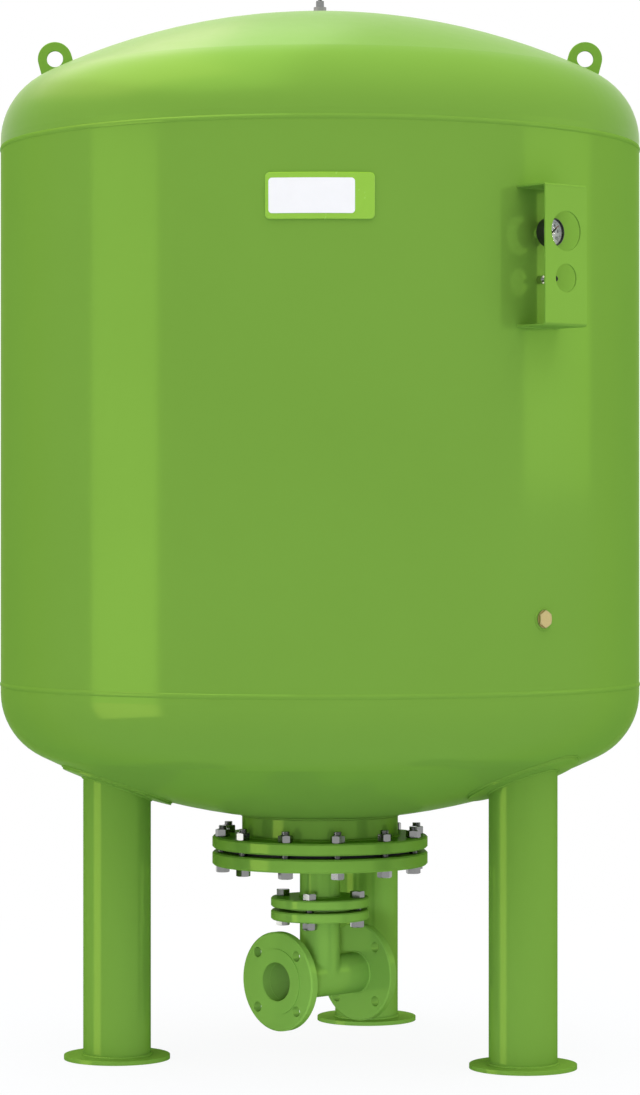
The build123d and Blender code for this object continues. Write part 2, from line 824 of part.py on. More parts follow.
gauge_bore_radius = gauge_diameter / 2 - gauge_case_wall
ledge_radius = gauge_bore_radius - dial_ledge
gauge_axis = Axis(origin=gauge_plane(gauge_back).origin, direction=outward(bracket_angle))
six_oclock = Vector(0, 0, -1)

with BuildPart() as gauge_case:
    with BuildSketch(gauge_plane(gauge_back)):
        Circle(gauge_diameter / 2)
    extrude(amount=gauge_depth)
    fillet(gauge_case.edges().filter_by(GeomType.CIRCLE), radius=gauge_case_rounding)
    with BuildSketch(gauge_plane(gauge_back + gauge_case_back)):
        Circle(ledge_radius)
    extrude(amount=gauge_depth, mode=Mode.SUBTRACT)
    with BuildSketch(gauge_plane(dial_back)):
        Circle(gauge_bore_radius)
    extrude(amount=gauge_depth, mode=Mode.SUBTRACT)
    with BuildSketch(gauge_plane(gauge_back)):
        Circle(stem_diameter / 2)
    extrude(amount=gauge_case_back, mode=Mode.SUBTRACT)
save(gauge_case, "gauge_case")

stem_hex_back = tank_radius + socket_height
case_floor = gauge_back + gauge_case_back


def bourdon_section_plane(start):
    """Plane through the gauge's axis, x towards this direction from it, y outwards."""
    facing = outward(bracket_angle)
    direction = six_oclock.rotate(Axis((0, 0, 0), facing), start)
    return Plane(origin=gauge_plane(case_floor).origin, x_dir=direction, z_dir=direction.cross(facing))


with BuildPart() as gauge_stem:
    with BuildSketch(gauge_plane(tank_radius - tank_wall - stem_tail)):
        Circle(stem_diameter / 2)
    extrude(amount=stem_end - tank_radius + tank_wall + stem_tail)
    with BuildSketch(gauge_plane(stem_hex_back)):
        RegularPolygon(stem_hex_across_flats / 2, side_count=6, major_radius=False)
    extrude(amount=gauge_back - stem_hex_back)
    with BuildSketch(gauge_plane(case_floor)):
        Rectangle(stem_diameter / 2, bourdon_radius, align=(Align.CENTER, Align.MAX))
    extrude(amount=stem_inner_reach)
    with BuildSketch(bourdon_section_plane(-bourdon_block_sweep / 2)):
        with Locations((bourdon_radius, 0)):
            Rectangle(bourdon_block_depth, bourdon_breadth + stem_inner_reach, align=(Align.CENTER, Align.MIN))
    revolve(axis=gauge_axis, revolution_arc=bourdon_block_sweep)
    with BuildSketch(gauge_plane(tank_radius - tank_wall - stem_tail)):
        Circle(stem_bore / 2)
    extrude(amount=gauge_back - tank_radius + tank_wall + stem_tail, mode=Mode.SUBTRACT)
save(gauge_stem, "gauge_stem")

bourdon_middle = stem_inner_reach + bourdon_breadth / 2

with BuildPart() as bourdon_tube:
    with BuildSketch(bourdon_section_plane(bourdon_block_sweep / 2)):
        with Locations((bourdon_radius, bourdon_middle)):
            Rectangle(bourdon_depth, bourdon_breadth)
            Rectangle(bourdon_depth - 2 * bourdon_wall, bourdon_breadth - 2 * bourdon_wall, mode=Mode.SUBTRACT)
    revolve(axis=gauge_axis, revolution_arc=bourdon_sweep)
    with BuildSketch(bourdon_section_plane(bourdon_block_sweep / 2 + bourdon_sweep)):
        with Locations((bourdon_radius, bourdon_middle)):
            Rectangle(bourdon_depth, bourdon_breadth)
    revolve(axis=gauge_axis, revolution_arc=bourdon_tip_sweep)
save(bourdon_tube, "bourdon_tube")

with BuildPart() as movement_plate:
    with BuildSketch(gauge_plane(stem_end)):
        with Locations((0, sector_offset / 2)):
            SlotCenterToCenter(sector_offset, movement_plate_width, rotation=90)
        Circle(shaft_diameter / 2 + shaft_clearance, mode=Mode.SUBTRACT)
    extrude(amount=movement_plate_thickness)
    with BuildSketch(gauge_plane(movement_front)):
        with Locations((0, sector_offset)):
            Circle(sector_pin_diameter / 2)
    extrude(amount=sector_gap + 2 * sector_thickness)
save(movement_plate, "movement_plate")

with BuildPart() as movement_sector:
    with BuildSketch(gauge_plane(sector_back)):
        with Locations((0, sector_offset)):
            Circle(sector_hub_diameter / 2)
        with BuildLine():
            rim = CenterArc(
                (0, sector_offset), sector_radius, -90 - sector_half_angle, 2 * sector_half_angle
            )
            Line((0, sector_offset), rim @ 0)
            Line((0, sector_offset), rim @ 1)
        make_face()
        with Locations((0, sector_offset)):
            Circle(sector_pin_diameter / 2 + shaft_clearance, mode=Mode.SUBTRACT)
    extrude(amount=sector_thickness)
save(movement_sector, "movement_sector")

with BuildPart() as gauge_dial:
    with BuildSketch(gauge_plane(dial_back)):
        Circle(gauge_bore_radius - dial_clearance)
        Circle(shaft_diameter, mode=Mode.SUBTRACT)
    extrude(amount=dial_thickness)
save(gauge_dial, "gauge_dial")

reading = 90 - pointer_reading
pointer_plane = turned(gauge_plane(pointer_back), reading)

with BuildPart() as gauge_pointer:
    with BuildSketch(pointer_plane):
        with BuildLine():
            Polyline(
                (-pointer_tail, -pointer_tail_width / 2),
                (pointer_length, -pointer_tip_width / 2),
                (pointer_length, pointer_tip_width / 2),
                (-pointer_tail, pointer_tail_width / 2),
                close=True,
            )
        make_face()
        Circle(pointer_hub_diameter / 2)
    extrude(amount=pointer_thickness)
    with BuildSketch(gauge_plane(stem_end)):
        Circle(shaft_diameter / 2)
    extrude(amount=pointer_back - stem_end)
    with BuildSketch(gauge_plane(sector_back)):
        Circle(pinion_radius)
    extrude(amount=2 * sector_thickness)
save(gauge_pointer, "gauge_pointer")

marker_plane = turned(gauge_plane(marker_back), reading)
marker_stub_height = window_front + marker_stub_rise - marker_back

with BuildPart() as gauge_marker:
    with BuildSketch(marker_plane):
        Circle(marker_hub_diameter / 2)
        Rectangle(marker_length, marker_width, align=(Align.MIN, Align.CENTER))
    extrude(amount=marker_thickness)
    with BuildSketch(gauge_plane(marker_back)):
        Circle(marker_stub_diameter / 2)
    extrude(amount=marker_stub_height)
save(gauge_marker, "gauge_marker")

window_radius = gauge_bore_radius - dial_clearance

with BuildPart() as gauge_window:
    with BuildSketch(gauge_plane(dial_front)):
        Circle(window_radius)
    extrude(amount=window_height)
    with BuildSketch(gauge_plane(dial_front)):
        Circle(window_radius - window_rim)
    extrude(amount=window_height - window_thickness, mode=Mode.SUBTRACT)
    with BuildSketch(gauge_plane(dial_front)):
        Circle(marker_stub_diameter / 2 + shaft_clearance)
    extrude(amount=window_height, mode=Mode.SUBTRACT)
save(gauge_window, "gauge_window")

# ---- Charging valve ------------------------------------------------------------------------------------
valve_tail_end = tank_radius - tank_wall - valve_tail
valve_mouth = tank_radius + valve_stem_end
valve_land_start = tank_radius + valve_land_inner
valve_seat_face = tank_radius + valve_seat_end

with BuildPart() as valve_body:
    with BuildSketch(valve_plane(valve_tail_end)):
        Circle(valve_tail_diameter / 2)
    extrude(amount=tank_radius + valve_hex_height - valve_tail_end)
    with BuildSketch(valve_plane(tank_radius)):
        RegularPolygon(valve_hex_across_flats / 2, side_count=6, major_radius=False)
    extrude(amount=valve_hex_height)
    with BuildSketch(valve_plane(tank_radius)):
        Circle(valve_stem_diameter / 2)
    extrude(amount=valve_stem_end)
    with BuildSketch(valve_plane(valve_tail_end)):
        Circle(valve_pin_diameter / 2 + valve_pin_clearance)
    extrude(amount=valve_mouth - valve_tail_end, mode=Mode.SUBTRACT)
    with BuildSketch(valve_plane(valve_land_start + valve_land_length)):
        Circle(valve_mouth_diameter / 2)
    extrude(amount=valve_mouth - valve_land_start - valve_land_length, mode=Mode.SUBTRACT)
    with BuildSketch(valve_plane(valve_seat_face)):
        Circle(valve_chamber_diameter / 2)
    extrude(amount=valve_land_start - valve_seat_face, mode=Mode.SUBTRACT)
    with BuildSketch(valve_plane(valve_seat_face - valve_seat_length)):
        Circle(valve_seat_bore / 2)
    extrude(amount=valve_seat_length, mode=Mode.SUBTRACT)
    with BuildSketch(valve_plane(valve_tail_end)):
        Circle(valve_chamber_diameter / 2)
    extrude(amount=valve_seat_face - valve_seat_length - valve_tail_end, mode=Mode.SUBTRACT)
save(valve_body, "valve_body")

valve_disc_front = valve_land_start - valve_disc_gap
valve_disc_back = valve_disc_front - valve_disc_thickness
valve_pin_back = valve_seat_face - valve_pin_tail

with BuildPart() as valve_pin:
    with BuildSketch(valve_plane(valve_pin_back)):
        Circle(valve_pin_diameter / 2)
    extrude(amount=valve_mouth - valve_pin_recess - valve_pin_back)
    with BuildSketch(valve_plane(valve_disc_back)):
        Circle(valve_disc_diameter / 2)
    extrude(amount=valve_disc_thickness)
save(valve_pin, "valve_pin")

# The spring stands off its seat by the pin's travel, so that it clears the seat when the pin is pressed.
spring_back = valve_seat_face + valve_travel + valve_travel_margin
spring_radius = valve_pin_diameter / 2 + spring_radial_gap + spring_wire / 2
spring_height = valve_disc_back - spring_back - spring_wire

spring_foot = valve_plane(spring_back + spring_wire / 2)

with BuildPart() as valve_spring:
    with BuildLine():
        coil = Helix(
            pitch=spring_height / spring_turns,
            height=spring_height,
            radius=spring_radius,
            center=spring_foot.origin,
            direction=spring_foot.z_dir,
        )
    with BuildSketch(Plane(origin=coil @ 0, z_dir=coil % 0)):
        Circle(spring_wire / 2)
    sweep(is_frenet=True)
save(valve_spring, "valve_spring")

cap_back = tank_radius + cap_end - cap_length

with BuildPart() as valve_cap:
    with BuildSketch(valve_plane(cap_back)):
        Circle(cap_diameter / 2)
    extrude(amount=cap_length)
    fillet(valve_cap.faces().sort_by(gauge_axis)[-1].edges(), radius=cap_edge_radius)
    with BuildSketch(valve_plane(cap_back)):
        Circle(valve_stem_diameter / 2 + cap_clearance)
    extrude(amount=cap_length - cap_wall, mode=Mode.SUBTRACT)
save(valve_cap, "valve_cap")

# ---- Rupture-detector connection -----------------------------------------------------------------------
rupture_front = tank_radius + rupture_socket_height
plug_seat = rupture_front + plug_seal_thickness
plug_hex = hex_block(plug_across_flats, plug_collar_height + plug_hex_height)

with BuildPart() as rupture_socket:
    with BuildSketch(rupture_plane(tank_radius - 2 * tank_wall)):
        Circle(rupture_socket_diameter / 2)
        Circle(rupture_bore / 2, mode=Mode.SUBTRACT)
    extrude(amount=2 * tank_wall + rupture_socket_height)
    outer_edge = rupture_socket.edges().sort_by_distance(rupture_plane(0).origin)[-1]
    chamfer(outer_edge, length=rupture_socket_chamfer)
save(rupture_socket, "rupture_socket")

with BuildPart() as plug_seal:
    with BuildSketch(rupture_plane(rupture_front)):
        Circle(plug_collar_diameter / 2)
        Circle(rupture_bore / 2, mode=Mode.SUBTRACT)
    extrude(amount=plug_seal_thickness)
save(plug_seal, "plug_seal")

with BuildPart(turned(rupture_plane(plug_seat), plug_corner_angle)) as rupture_plug:
    add(plug_hex.part)
    with BuildSketch(rupture_plane(plug_seat)):
        Circle(plug_collar_diameter / 2)
    extrude(amount=plug_collar_height)
    with BuildSketch(rupture_plane(plug_seat)):
        Circle(rupture_bore / 2 - thread_clearance)
    extrude(amount=-plug_shank_length)
save(rupture_plug, "rupture_plug")
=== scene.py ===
# %% [markdown]
# # An expansion vessel, dressed for its portrait
# The solids of this vessel come from CAD and already have the right sizes.  They arrive as a frame that
# stays where it is.  This lesson gives them paint, plating, rubber and brass, and models the pieces that
# make a welded vessel believable: threaded bolts, weld beads, a forged tee, a printed dial.

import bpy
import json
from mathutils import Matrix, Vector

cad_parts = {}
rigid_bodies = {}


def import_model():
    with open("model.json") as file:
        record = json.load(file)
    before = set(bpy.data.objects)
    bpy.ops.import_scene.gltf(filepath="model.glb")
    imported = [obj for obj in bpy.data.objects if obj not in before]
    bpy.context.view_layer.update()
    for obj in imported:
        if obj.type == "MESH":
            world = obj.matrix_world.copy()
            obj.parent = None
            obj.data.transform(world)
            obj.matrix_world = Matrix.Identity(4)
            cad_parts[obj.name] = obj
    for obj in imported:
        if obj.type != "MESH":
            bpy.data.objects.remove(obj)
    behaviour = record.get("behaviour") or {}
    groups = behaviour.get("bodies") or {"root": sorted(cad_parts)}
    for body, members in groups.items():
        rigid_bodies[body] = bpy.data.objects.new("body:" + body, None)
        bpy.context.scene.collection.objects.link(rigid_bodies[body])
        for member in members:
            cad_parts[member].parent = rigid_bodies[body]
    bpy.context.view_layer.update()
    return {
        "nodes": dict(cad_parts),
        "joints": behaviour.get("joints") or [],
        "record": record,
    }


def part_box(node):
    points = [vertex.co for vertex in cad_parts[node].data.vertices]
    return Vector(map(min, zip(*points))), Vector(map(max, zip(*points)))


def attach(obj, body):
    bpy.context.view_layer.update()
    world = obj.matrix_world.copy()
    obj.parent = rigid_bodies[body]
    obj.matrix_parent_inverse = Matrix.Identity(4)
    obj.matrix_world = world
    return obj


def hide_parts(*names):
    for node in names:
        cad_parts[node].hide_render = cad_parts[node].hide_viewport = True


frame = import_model()

# %% Modules and shorthands
import json
from math import atan2, cos, hypot, pi, radians, sin, sqrt, tan

import bmesh
import bpy
from mathutils import Matrix, Vector

MM = 0.001
nodes = frame["nodes"]
record = frame["record"]
mounts = {mount["name"]: mount for mount in record["mounts"]}
joints = {joint["name"]: joint for joint in frame["joints"]}
UP = Vector((0, 0, 1))
TURN_OVER = Matrix.Rotation(pi, 4, "X")

# %% [markdown]
# ## Camera
# A long lens far away keeps the vessel's sides nearly parallel, as in a catalogue picture.  The camera
# stands at half the vessel's height and looks level, so upright edges stay upright.  A small lens shift
# moves the picture on the sensor instead of tilting the camera.

# %% Set up the camera
camera_data = bpy.data.cameras.new("camera")
camera_data.sensor_width = 36
camera_data.lens = 117.84
camera_data.shift_y = -0.01306  # of the sensor's longer side
camera = bpy.data.objects.new("camera", camera_data)
bpy.context.scene.collection.objects.link(camera)
camera.location = (0, -6.762, 0.9702)
camera.rotation_euler = (radians(90), 0, 0)
bpy.context.scene.camera = camera
bpy.context.scene.view_settings.view_transform = "Standard"
print("camera at", tuple(round(value, 3) for value in camera.location))

# %% [markdown]
# ## Shader maths written as Python
# A material is a graph of nodes, and wiring it by hand hides the idea.  One small class wraps an output
# socket.  Adding or multiplying two of them adds the Math node, and one method makes any other node.


# %% Wrap a socket
class Wire:
    """An output socket of a node tree, with Python's operators."""

    def __init__(self, tree, socket):
        self.tree = tree
        self.socket = socket

    def make(self, kind, settings, values, output=0):
        """Add a node: first its settings, then the value or link of each socket."""
        node = self.tree.nodes.new(kind)
        for name, setting in settings.items():
            if name == "stops":
                ramp = node.color_ramp
                ramp.elements[0].position, ramp.elements[0].color = setting[0]
                ramp.elements[-1].position, ramp.elements[-1].color = setting[-1]
                for position, color in setting[1:-1]:
                    ramp.elements.new(position).color = color
            else:
                setattr(node, name, setting)
        for name, value in values.items():
            if isinstance(value, Wire):
                self.tree.links.new(value.socket, node.inputs[name])
            else:
                node.inputs[name].default_value = value
        return Wire(self.tree, node.outputs[output])

    def maths(self, operation, first, second=0.0):
        return self.make("ShaderNodeMath", {"operation": operation}, {0: first, 1: second})

    def __add__(self, other):
        return self.maths("ADD", self, other)

    def __radd__(self, other):
        return self.maths("ADD", other, self)

    def __sub__(self, other):
        return self.maths("SUBTRACT", self, other)

    def __rsub__(self, other):
        return self.maths("SUBTRACT", other, self)

    def __mul__(self, other):
        return self.maths("MULTIPLY", self, other)

    def __rmul__(self, other):
        return self.maths("MULTIPLY", other, self)


# %% Helpers that every finish uses
def new_finish(name, settings):
    """A material, its Principled shader with constant settings, and the object coordinates."""
    material = bpy.data.materials.new(name)
    material.use_nodes = True
    tree = material.node_tree
    shader = tree.nodes["Principled BSDF"]
    for socket, value in settings.items():
        shader.inputs[socket].default_value = value
    coordinates = tree.nodes.new("ShaderNodeTexCoord")
    return material, shader, Wire(tree, coordinates.outputs["Object"])


def feed(shader, socket, wire):
    """Link a wire to a socket of the shader."""
    wire.tree.links.new(wire.socket, shader.inputs[socket])


def cloud(place, scale, detail=3.0):
    """Soft noise between 0 and 1 with this many cells per metre."""
    return place.make("ShaderNodeTexNoise", {}, {"Vector": place, "Scale": scale, "Detail": detail})


def tint(place, mask, low, high):
    """A colour between two others, as the mask says."""
    settings = {"data_type": "RGBA"}
    return place.make("ShaderNodeMix", settings, {0: mask, 6: (*low, 1), 7: (*high, 1)}, output=2)


def relief(place, height, strength, distance):
    """A bump from a height."""
    values = {"Height": height, "Strength": strength, "Distance": distance}
    return place.make("ShaderNodeBump", {}, values)


# %% [markdown]
# ## The vessel's enamel
# The vessel wears a thick gloss coat, stoved on.  It could be one flat green, but real enamel has orange
# peel: a shallow ripple a few millimetres wide that breaks up reflections, and a colour that drifts a
# little with the film's thickness.  A little Metallic gives reflections the hue of the paint, as its fine
# flake does, and a low specular level with a dark tint keeps surfaces seen at a low angle from turning
# white.  The upper head is pressed from thick plate, and its paint shows softer, broader reflections.


# %% Mix the green enamel
def green_enamel(name, gloss, smooth, edge_tint):
    """The vessel's paint with this specular level, least roughness and colour at grazing angles."""
    settings = {"Metallic": 0.14, "IOR": 1.45, "Specular IOR Level": gloss}
    settings["Specular Tint"] = (*edge_tint, 1)
    material, shader, place = new_finish(name, settings)
    drift = cloud(place, 2.3)
    mottle = cloud(place, 40.0)
    feed(shader, "Base Color", tint(place, drift, (0.178, 0.356, 0.048), (0.192, 0.380, 0.054)))
    feed(shader, "Roughness", smooth + 0.06 * mottle)
    feed(shader, "Normal", relief(place, cloud(place, 260.0, 1.0), 0.035, 0.4 * MM))
    return material


enamel = green_enamel("green_enamel", 0.0, 0.09, (0.27, 0.38, 0.08))
head_enamel = green_enamel("head_enamel", 0.05, 0.26, (0.30, 0.38, 0.15))
print("enamel nodes:", len(enamel.node_tree.nodes))

# %% [markdown]
# ## Plating, brass, rubber and plastic
# Each of the other finishes starts from its base colour.  It could be an even one, but real surfaces have a
# grain: zinc has fine crystals, turned steel is duller, rubber is matt and slightly cloudy.  One function
# for metals and one for mouldings give each of them its own grain.


# %% A family of metals
def metal(name, low, high, smooth, rough, grain, bump):
    """Bare or plated metal whose colour and roughness change with a fine grain."""
    material, shader, place = new_finish(name, {"Metallic": 1.0})
    mask = cloud(place, grain, 4.0)
    feed(shader, "Base Color", tint(place, mask, low, high))
    feed(shader, "Roughness", smooth + (rough - smooth) * mask)
    feed(shader, "Normal", relief(place, mask, bump, 0.1 * MM))
    return material


zinc = metal("zinc_plating", (0.20, 0.205, 0.20), (0.30, 0.305, 0.30), 0.10, 0.22, 900.0, 0.06)
steel = metal("plain_steel", (0.24, 0.24, 0.235), (0.34, 0.34, 0.33), 0.25, 0.45, 700.0, 0.12)
brass = metal("plain_brass", (0.40, 0.33, 0.15), (0.54, 0.46, 0.23), 0.26, 0.42, 500.0, 0.10)
clock_brass = metal("movement_brass", (0.55, 0.39, 0.14), (0.66, 0.48, 0.19), 0.22, 0.36, 1500.0, 0.08)
nickel = metal("nickel_plating", (0.55, 0.55, 0.53), (0.66, 0.66, 0.64), 0.10, 0.20, 1200.0, 0.05)
wire_steel = metal("spring_wire", (0.36, 0.36, 0.37), (0.48, 0.48, 0.49), 0.20, 0.34, 1500.0, 0.06)


# %% A family of rubbers and plastics
def moulded(name, low, high, smooth, rough, grain, bump, settings=None):
    """Moulded or painted surface with a faint cloud and texture."""
    material, shader, place = new_finish(name, settings or {})
    mask = cloud(place, grain, 3.0)
    feed(shader, "Base Color", tint(place, mask, low, high))
    feed(shader, "Roughness", smooth + (rough - smooth) * mask)
    feed(shader, "Normal", relief(place, cloud(place, 3 * grain), bump, 0.1 * MM))
    return material


butyl = moulded("butyl_rubber", (0.010, 0.010, 0.010), (0.022, 0.022, 0.021), 0.55, 0.75, 120.0, 0.3)
fibre = moulded("gasket_fibre", (0.014, 0.016, 0.016), (0.030, 0.033, 0.033), 0.65, 0.85, 600.0, 0.4)
case_black = moulded("case_black", (0.006, 0.006, 0.007), (0.012, 0.012, 0.013), 0.25, 0.40, 300.0, 0.1)
matt = {"Specular IOR Level": 0.2}
cap_black = moulded("cap_black", (0.005, 0.005, 0.006), (0.010, 0.010, 0.011), 0.45, 0.60, 900.0, 0.3, matt)
dial_white = moulded("dial_white", (0.74, 0.74, 0.72), (0.80, 0.80, 0.78), 0.35, 0.50, 300.0, 0.02)
print_black = moulded("print_black", (0.010, 0.010, 0.010), (0.016, 0.016, 0.016), 0.40, 0.50, 400.0, 0.02)
marker_red = moulded("marker_red", (0.50, 0.012, 0.010), (0.62, 0.020, 0.015), 0.25, 0.35, 300.0, 0.02)
plate_green = moulded("plate_green", (0.262, 0.530, 0.032), (0.280, 0.560, 0.038), 0.22, 0.30, 60.0, 0.02)
panel_white = moulded("panel_white", (0.90, 0.90, 0.895), (0.93, 0.93, 0.925), 0.18, 0.26, 60.0, 0.01)
clear = {"Transmission Weight": 1.0, "IOR": 1.49, "Alpha": 0.10}
pane_clear = moulded("window_clear", (0.95, 0.97, 0.97), (0.97, 0.98, 0.98), 0.01, 0.04, 200.0, 0.01, clear)

# %% Give every CAD node its finish
finish_of_slot = {
    "green_paint": enamel,
    "plate_green": plate_green,
    "panel_white": panel_white,
    "zinc_steel": zinc,
    "plain_steel": steel,
    "bladder_rubber": butyl,
    "gasket_fibre": fibre,
    "case_black": case_black,
    "dial_white": dial_white,
    "pointer_black": print_black,
    "marker_red": marker_red,
    "window_clear": pane_clear,
    "movement_brass": clock_brass,
    "valve_nickel": nickel,
    "spring_steel": wire_steel,
    "cap_black": cap_black,
    "plug_brass": brass,
}
for part in record["subparts"]:
    mesh = nodes[part["node"]].data
    mesh.materials.clear()
    mesh.materials.append(finish_of_slot[part["material_slot"]])
nodes["upper_head"].data.materials[0] = head_enamel
print("finishes:", len(finish_of_slot), "nodes:", len(record["subparts"]))

# %% [markdown]
# ## Floor and lights
# The vessel stands on a white studio floor.  The floor's own colour would turn grey away from the lamps,
# so what the camera sees of it is white light with the vessel's soft shadow mixed in near the feet.  The
# gloss comes from large soft boxes: the paint shows them as upright bands with crisp edges.  Each band is
# a stack of boxes whose brightness changes from step to step, because one box would look even and flat.
# Boxes that only make reflections light nothing else, so visible_diffuse is off for them.

# %% Lay the floor
bpy.ops.object.select_all(action="DESELECT")
bpy.ops.mesh.primitive_plane_add(size=60, location=(0, 0, -MM))
floor = bpy.context.object
floor.name = "floor"
floor.visible_glossy = False
SHADOW_FROM, SHADOW_TO, SHADOW_DEPTH = 0.7, 2.4, 0.08
settings = {"Base Color": (0.72, 0.79, 0.92, 1), "Roughness": 0.9}
floor_white, shader, place = new_finish("floor_white", settings)
path = place.tree.nodes.new("ShaderNodeLightPath")
seen = Wire(place.tree, path.outputs["Is Camera Ray"])
seen = seen.maths("MAXIMUM", seen, Wire(place.tree, path.outputs["Is Transmission Ray"]))
distance = place.make("ShaderNodeVectorMath", {"operation": "LENGTH"}, {0: place}, output=1)
fade = {"Value": distance, 1: SHADOW_FROM, 2: SHADOW_TO, 3: 1.0, 4: 0.0}
near = place.make("ShaderNodeMapRange", {}, fade)
glow = place.make("ShaderNodeEmission", {}, {"Strength": 1.0})
surface = Wire(place.tree, shader.outputs["BSDF"])
mixed = place.make("ShaderNodeMixShader", {}, {0: seen * (1 - SHADOW_DEPTH * near), 1: surface, 2: glow})
output = place.tree.nodes["Material Output"]
place.tree.links.new(mixed.socket, output.inputs["Surface"])
floor.data.materials.append(floor_white)
print("floor nodes:", len(place.tree.nodes))

# %% Light the world
world = bpy.data.worlds.new("studio")
bpy.context.scene.world = world
world.use_nodes = True
tree = world.node_tree
ambient = Wire(tree, tree.nodes["Background"].outputs[0])
tree.nodes["Background"].inputs["Color"].default_value = (1.03, 1.0, 0.98, 1)
tree.nodes["Background"].inputs["Strength"].default_value = 0.75
path = tree.nodes.new("ShaderNodeLightPath")
shown = Wire(tree, path.outputs["Is Camera Ray"])
shown = shown.maths("MAXIMUM", shown, Wire(tree, path.outputs["Is Transmission Ray"]))
shown = shown.maths("MAXIMUM", shown, Wire(tree, path.outputs["Is Glossy Ray"]))
white = ambient.make("ShaderNodeBackground", {}, {"Color": (1, 1, 1, 1), "Strength": 1.0})
mixed = ambient.make("ShaderNodeMixShader", {}, {0: shown, 1: ambient, 2: white})
tree.links.new(mixed.socket, tree.nodes["World Output"].inputs["Surface"])
print("world nodes:", len(tree.nodes))


# %% Hang the soft boxes
def soft_box(name, centre, facing, width, height, radiance, color):
    """Rectangular lamp with this brightness and colour as seen in a mirror."""
    data = bpy.data.lights.new(name, "AREA")
    data.shape = "RECTANGLE"
    data.size = width
    data.size_y = height
    data.energy = radiance * pi * width * height
    data.color = color
    lamp = bpy.data.objects.new(name, data)
    bpy.context.scene.collection.objects.link(lamp)
    lamp.location = centre
    lamp.rotation_euler = Vector(facing).to_track_quat("-Z", "Y").to_euler()
    lamp.visible_camera = False
    print(name, "power:", round(data.energy), "W")
    return lamp


WARM = (1.0, 0.92, 0.66)
AMBER = (1.1, 0.72, 0.72)
CREAM = (1.0, 0.97, 0.62)
ROSE = (1.45, 0.80, 1.1)
NEUTRAL = (1.0, 0.98, 0.94)
COOL = (0.90, 0.92, 1.5)
DOWN = (0, 0, -1)

# %% Stack the boxes that make the upright bands
BAND_REACH = 4.0
LEFT_DEPTH, LEFT_WIDTH = -1.68, 2.2
RIGHT_DEPTH, RIGHT_WIDTH = -0.17, 2.4
LEFT_STEPS = ((1.8, 2.15, 1.28), (1.4, 1.8, 1.43), (0.95, 1.4, 1.63), (0.4, 0.95, 1.85))
RIGHT_STEPS = ((1.75, 2.12, 1.24), (1.45, 1.75, 1.6), (1.25, 1.45, 1.42), (1.08, 1.25, 1.2))
for side, reach, depth, width, steps in (
    ("left", -BAND_REACH, LEFT_DEPTH, LEFT_WIDTH, LEFT_STEPS),
    ("right", BAND_REACH, RIGHT_DEPTH, RIGHT_WIDTH, RIGHT_STEPS),
):
    for index, (foot, top, radiance) in enumerate(steps):
        centre = (reach, depth, (foot + top) / 2)
        lamp = soft_box(f"{side}_box_{index}", centre, (-reach, 0, 0), width, top - foot, radiance, WARM)
        lamp.visible_diffuse = False

# %% Light the legs, the metal and the upper head
low_place = (-BAND_REACH, LEFT_DEPTH, -0.2)
low_box = soft_box("low_box", low_place, (1, 0, 0), LEFT_WIDTH, 1.1, 2.7, AMBER)
metal_box = soft_box("metal_box", low_place, (1, 0, 0), LEFT_WIDTH, 1.1, 3.0, NEUTRAL)
dome_box = soft_box("dome_box", (-4.4, 5.0, 5.6), (0, -1, 0), 8.0, 6.4, 0.12, CREAM)
dome_box.rotation_euler.rotate_axis("Z", radians(8))
edge_box = soft_box("edge_box", (-2.9, 1.6, 4.35), DOWN, 4.2, 6.0, 1.6, ROSE)
edge_box.rotation_euler = (0, 0, radians(-8))
for lamp in (low_box, metal_box, dome_box, edge_box):
    lamp.visible_diffuse = False

# %% Light the whole vessel from above and its underside from the front
top_left_box = soft_box("top_left_box", (-1.75, 0.0, 4.4), DOWN, 3.0, 7.5, 1.8, NEUTRAL)
top_left_box.rotation_euler = (0, 0, radians(-8))
top_right_box = soft_box("top_right_box", (1.6, 0.0, 4.4), DOWN, 3.0, 7.5, 1.8, NEUTRAL)
top_right_box.rotation_euler = (0, 0, 0)
low_fill = soft_box("low_fill", (-1.2, -3.5, 0.25), (0.33, 1, -0.3), 3.0, 0.8, 0.30, COOL)
low_fill.data.spread = radians(34)
tee_fill = soft_box("tee_fill", (-0.12, -2.6, 0.14), (0.12, 2.6, -0.06), 0.3, 0.3, 1.7, COOL)
tee_fill.data.spread = radians(17)
side_fill = soft_box("side_fill", (3.6, -1.2, 0.8), (-1, 0.3, 0), 2.2, 1.4, 0.5, COOL)
for lamp in (top_right_box, low_fill, tee_fill, side_fill):
    lamp.visible_glossy = False

# %% [markdown]
# ## Tools for modelling by hand
# Every new piece starts from a primitive and is shaped with the operators of edit mode.  An operator acts
# on whatever is selected, so each step first clears the selection.  Turned pieces share one recipe: a
# profile is drawn point by point and spun round the z axis, as on a lathe.


# %% Select, turn and place
def alone(piece):
    """Make this the only selected object."""
    bpy.ops.object.select_all(action="DESELECT")
    piece.select_set(True)
    bpy.context.view_layer.objects.active = piece


def named(name):
    """Name the object that an operator has just added, and settle its place into its mesh."""
    piece = bpy.context.object
    piece.name = name
    piece.data.name = name
    alone(piece)
    bpy.ops.object.transform_apply(location=True, rotation=True, scale=True)
    return piece


def moved(piece, matrix):
    """Carry a finished piece to its place and settle the place into its mesh."""
    piece.matrix_world = matrix
    alone(piece)
    bpy.ops.object.transform_apply(location=True, rotation=True, scale=True)
    return piece


def facing_matrix(origin, facing, sideways):
    """Matrix that takes z to the facing direction and x to the sideways one."""
    z_axis = Vector(facing).normalized()
    y_axis = z_axis.cross(Vector(sideways)).normalized()
    x_axis = y_axis.cross(z_axis)
    turn = Matrix((x_axis, y_axis, z_axis)).transposed().to_4x4()
    return Matrix.Translation(Vector(origin)) @ turn


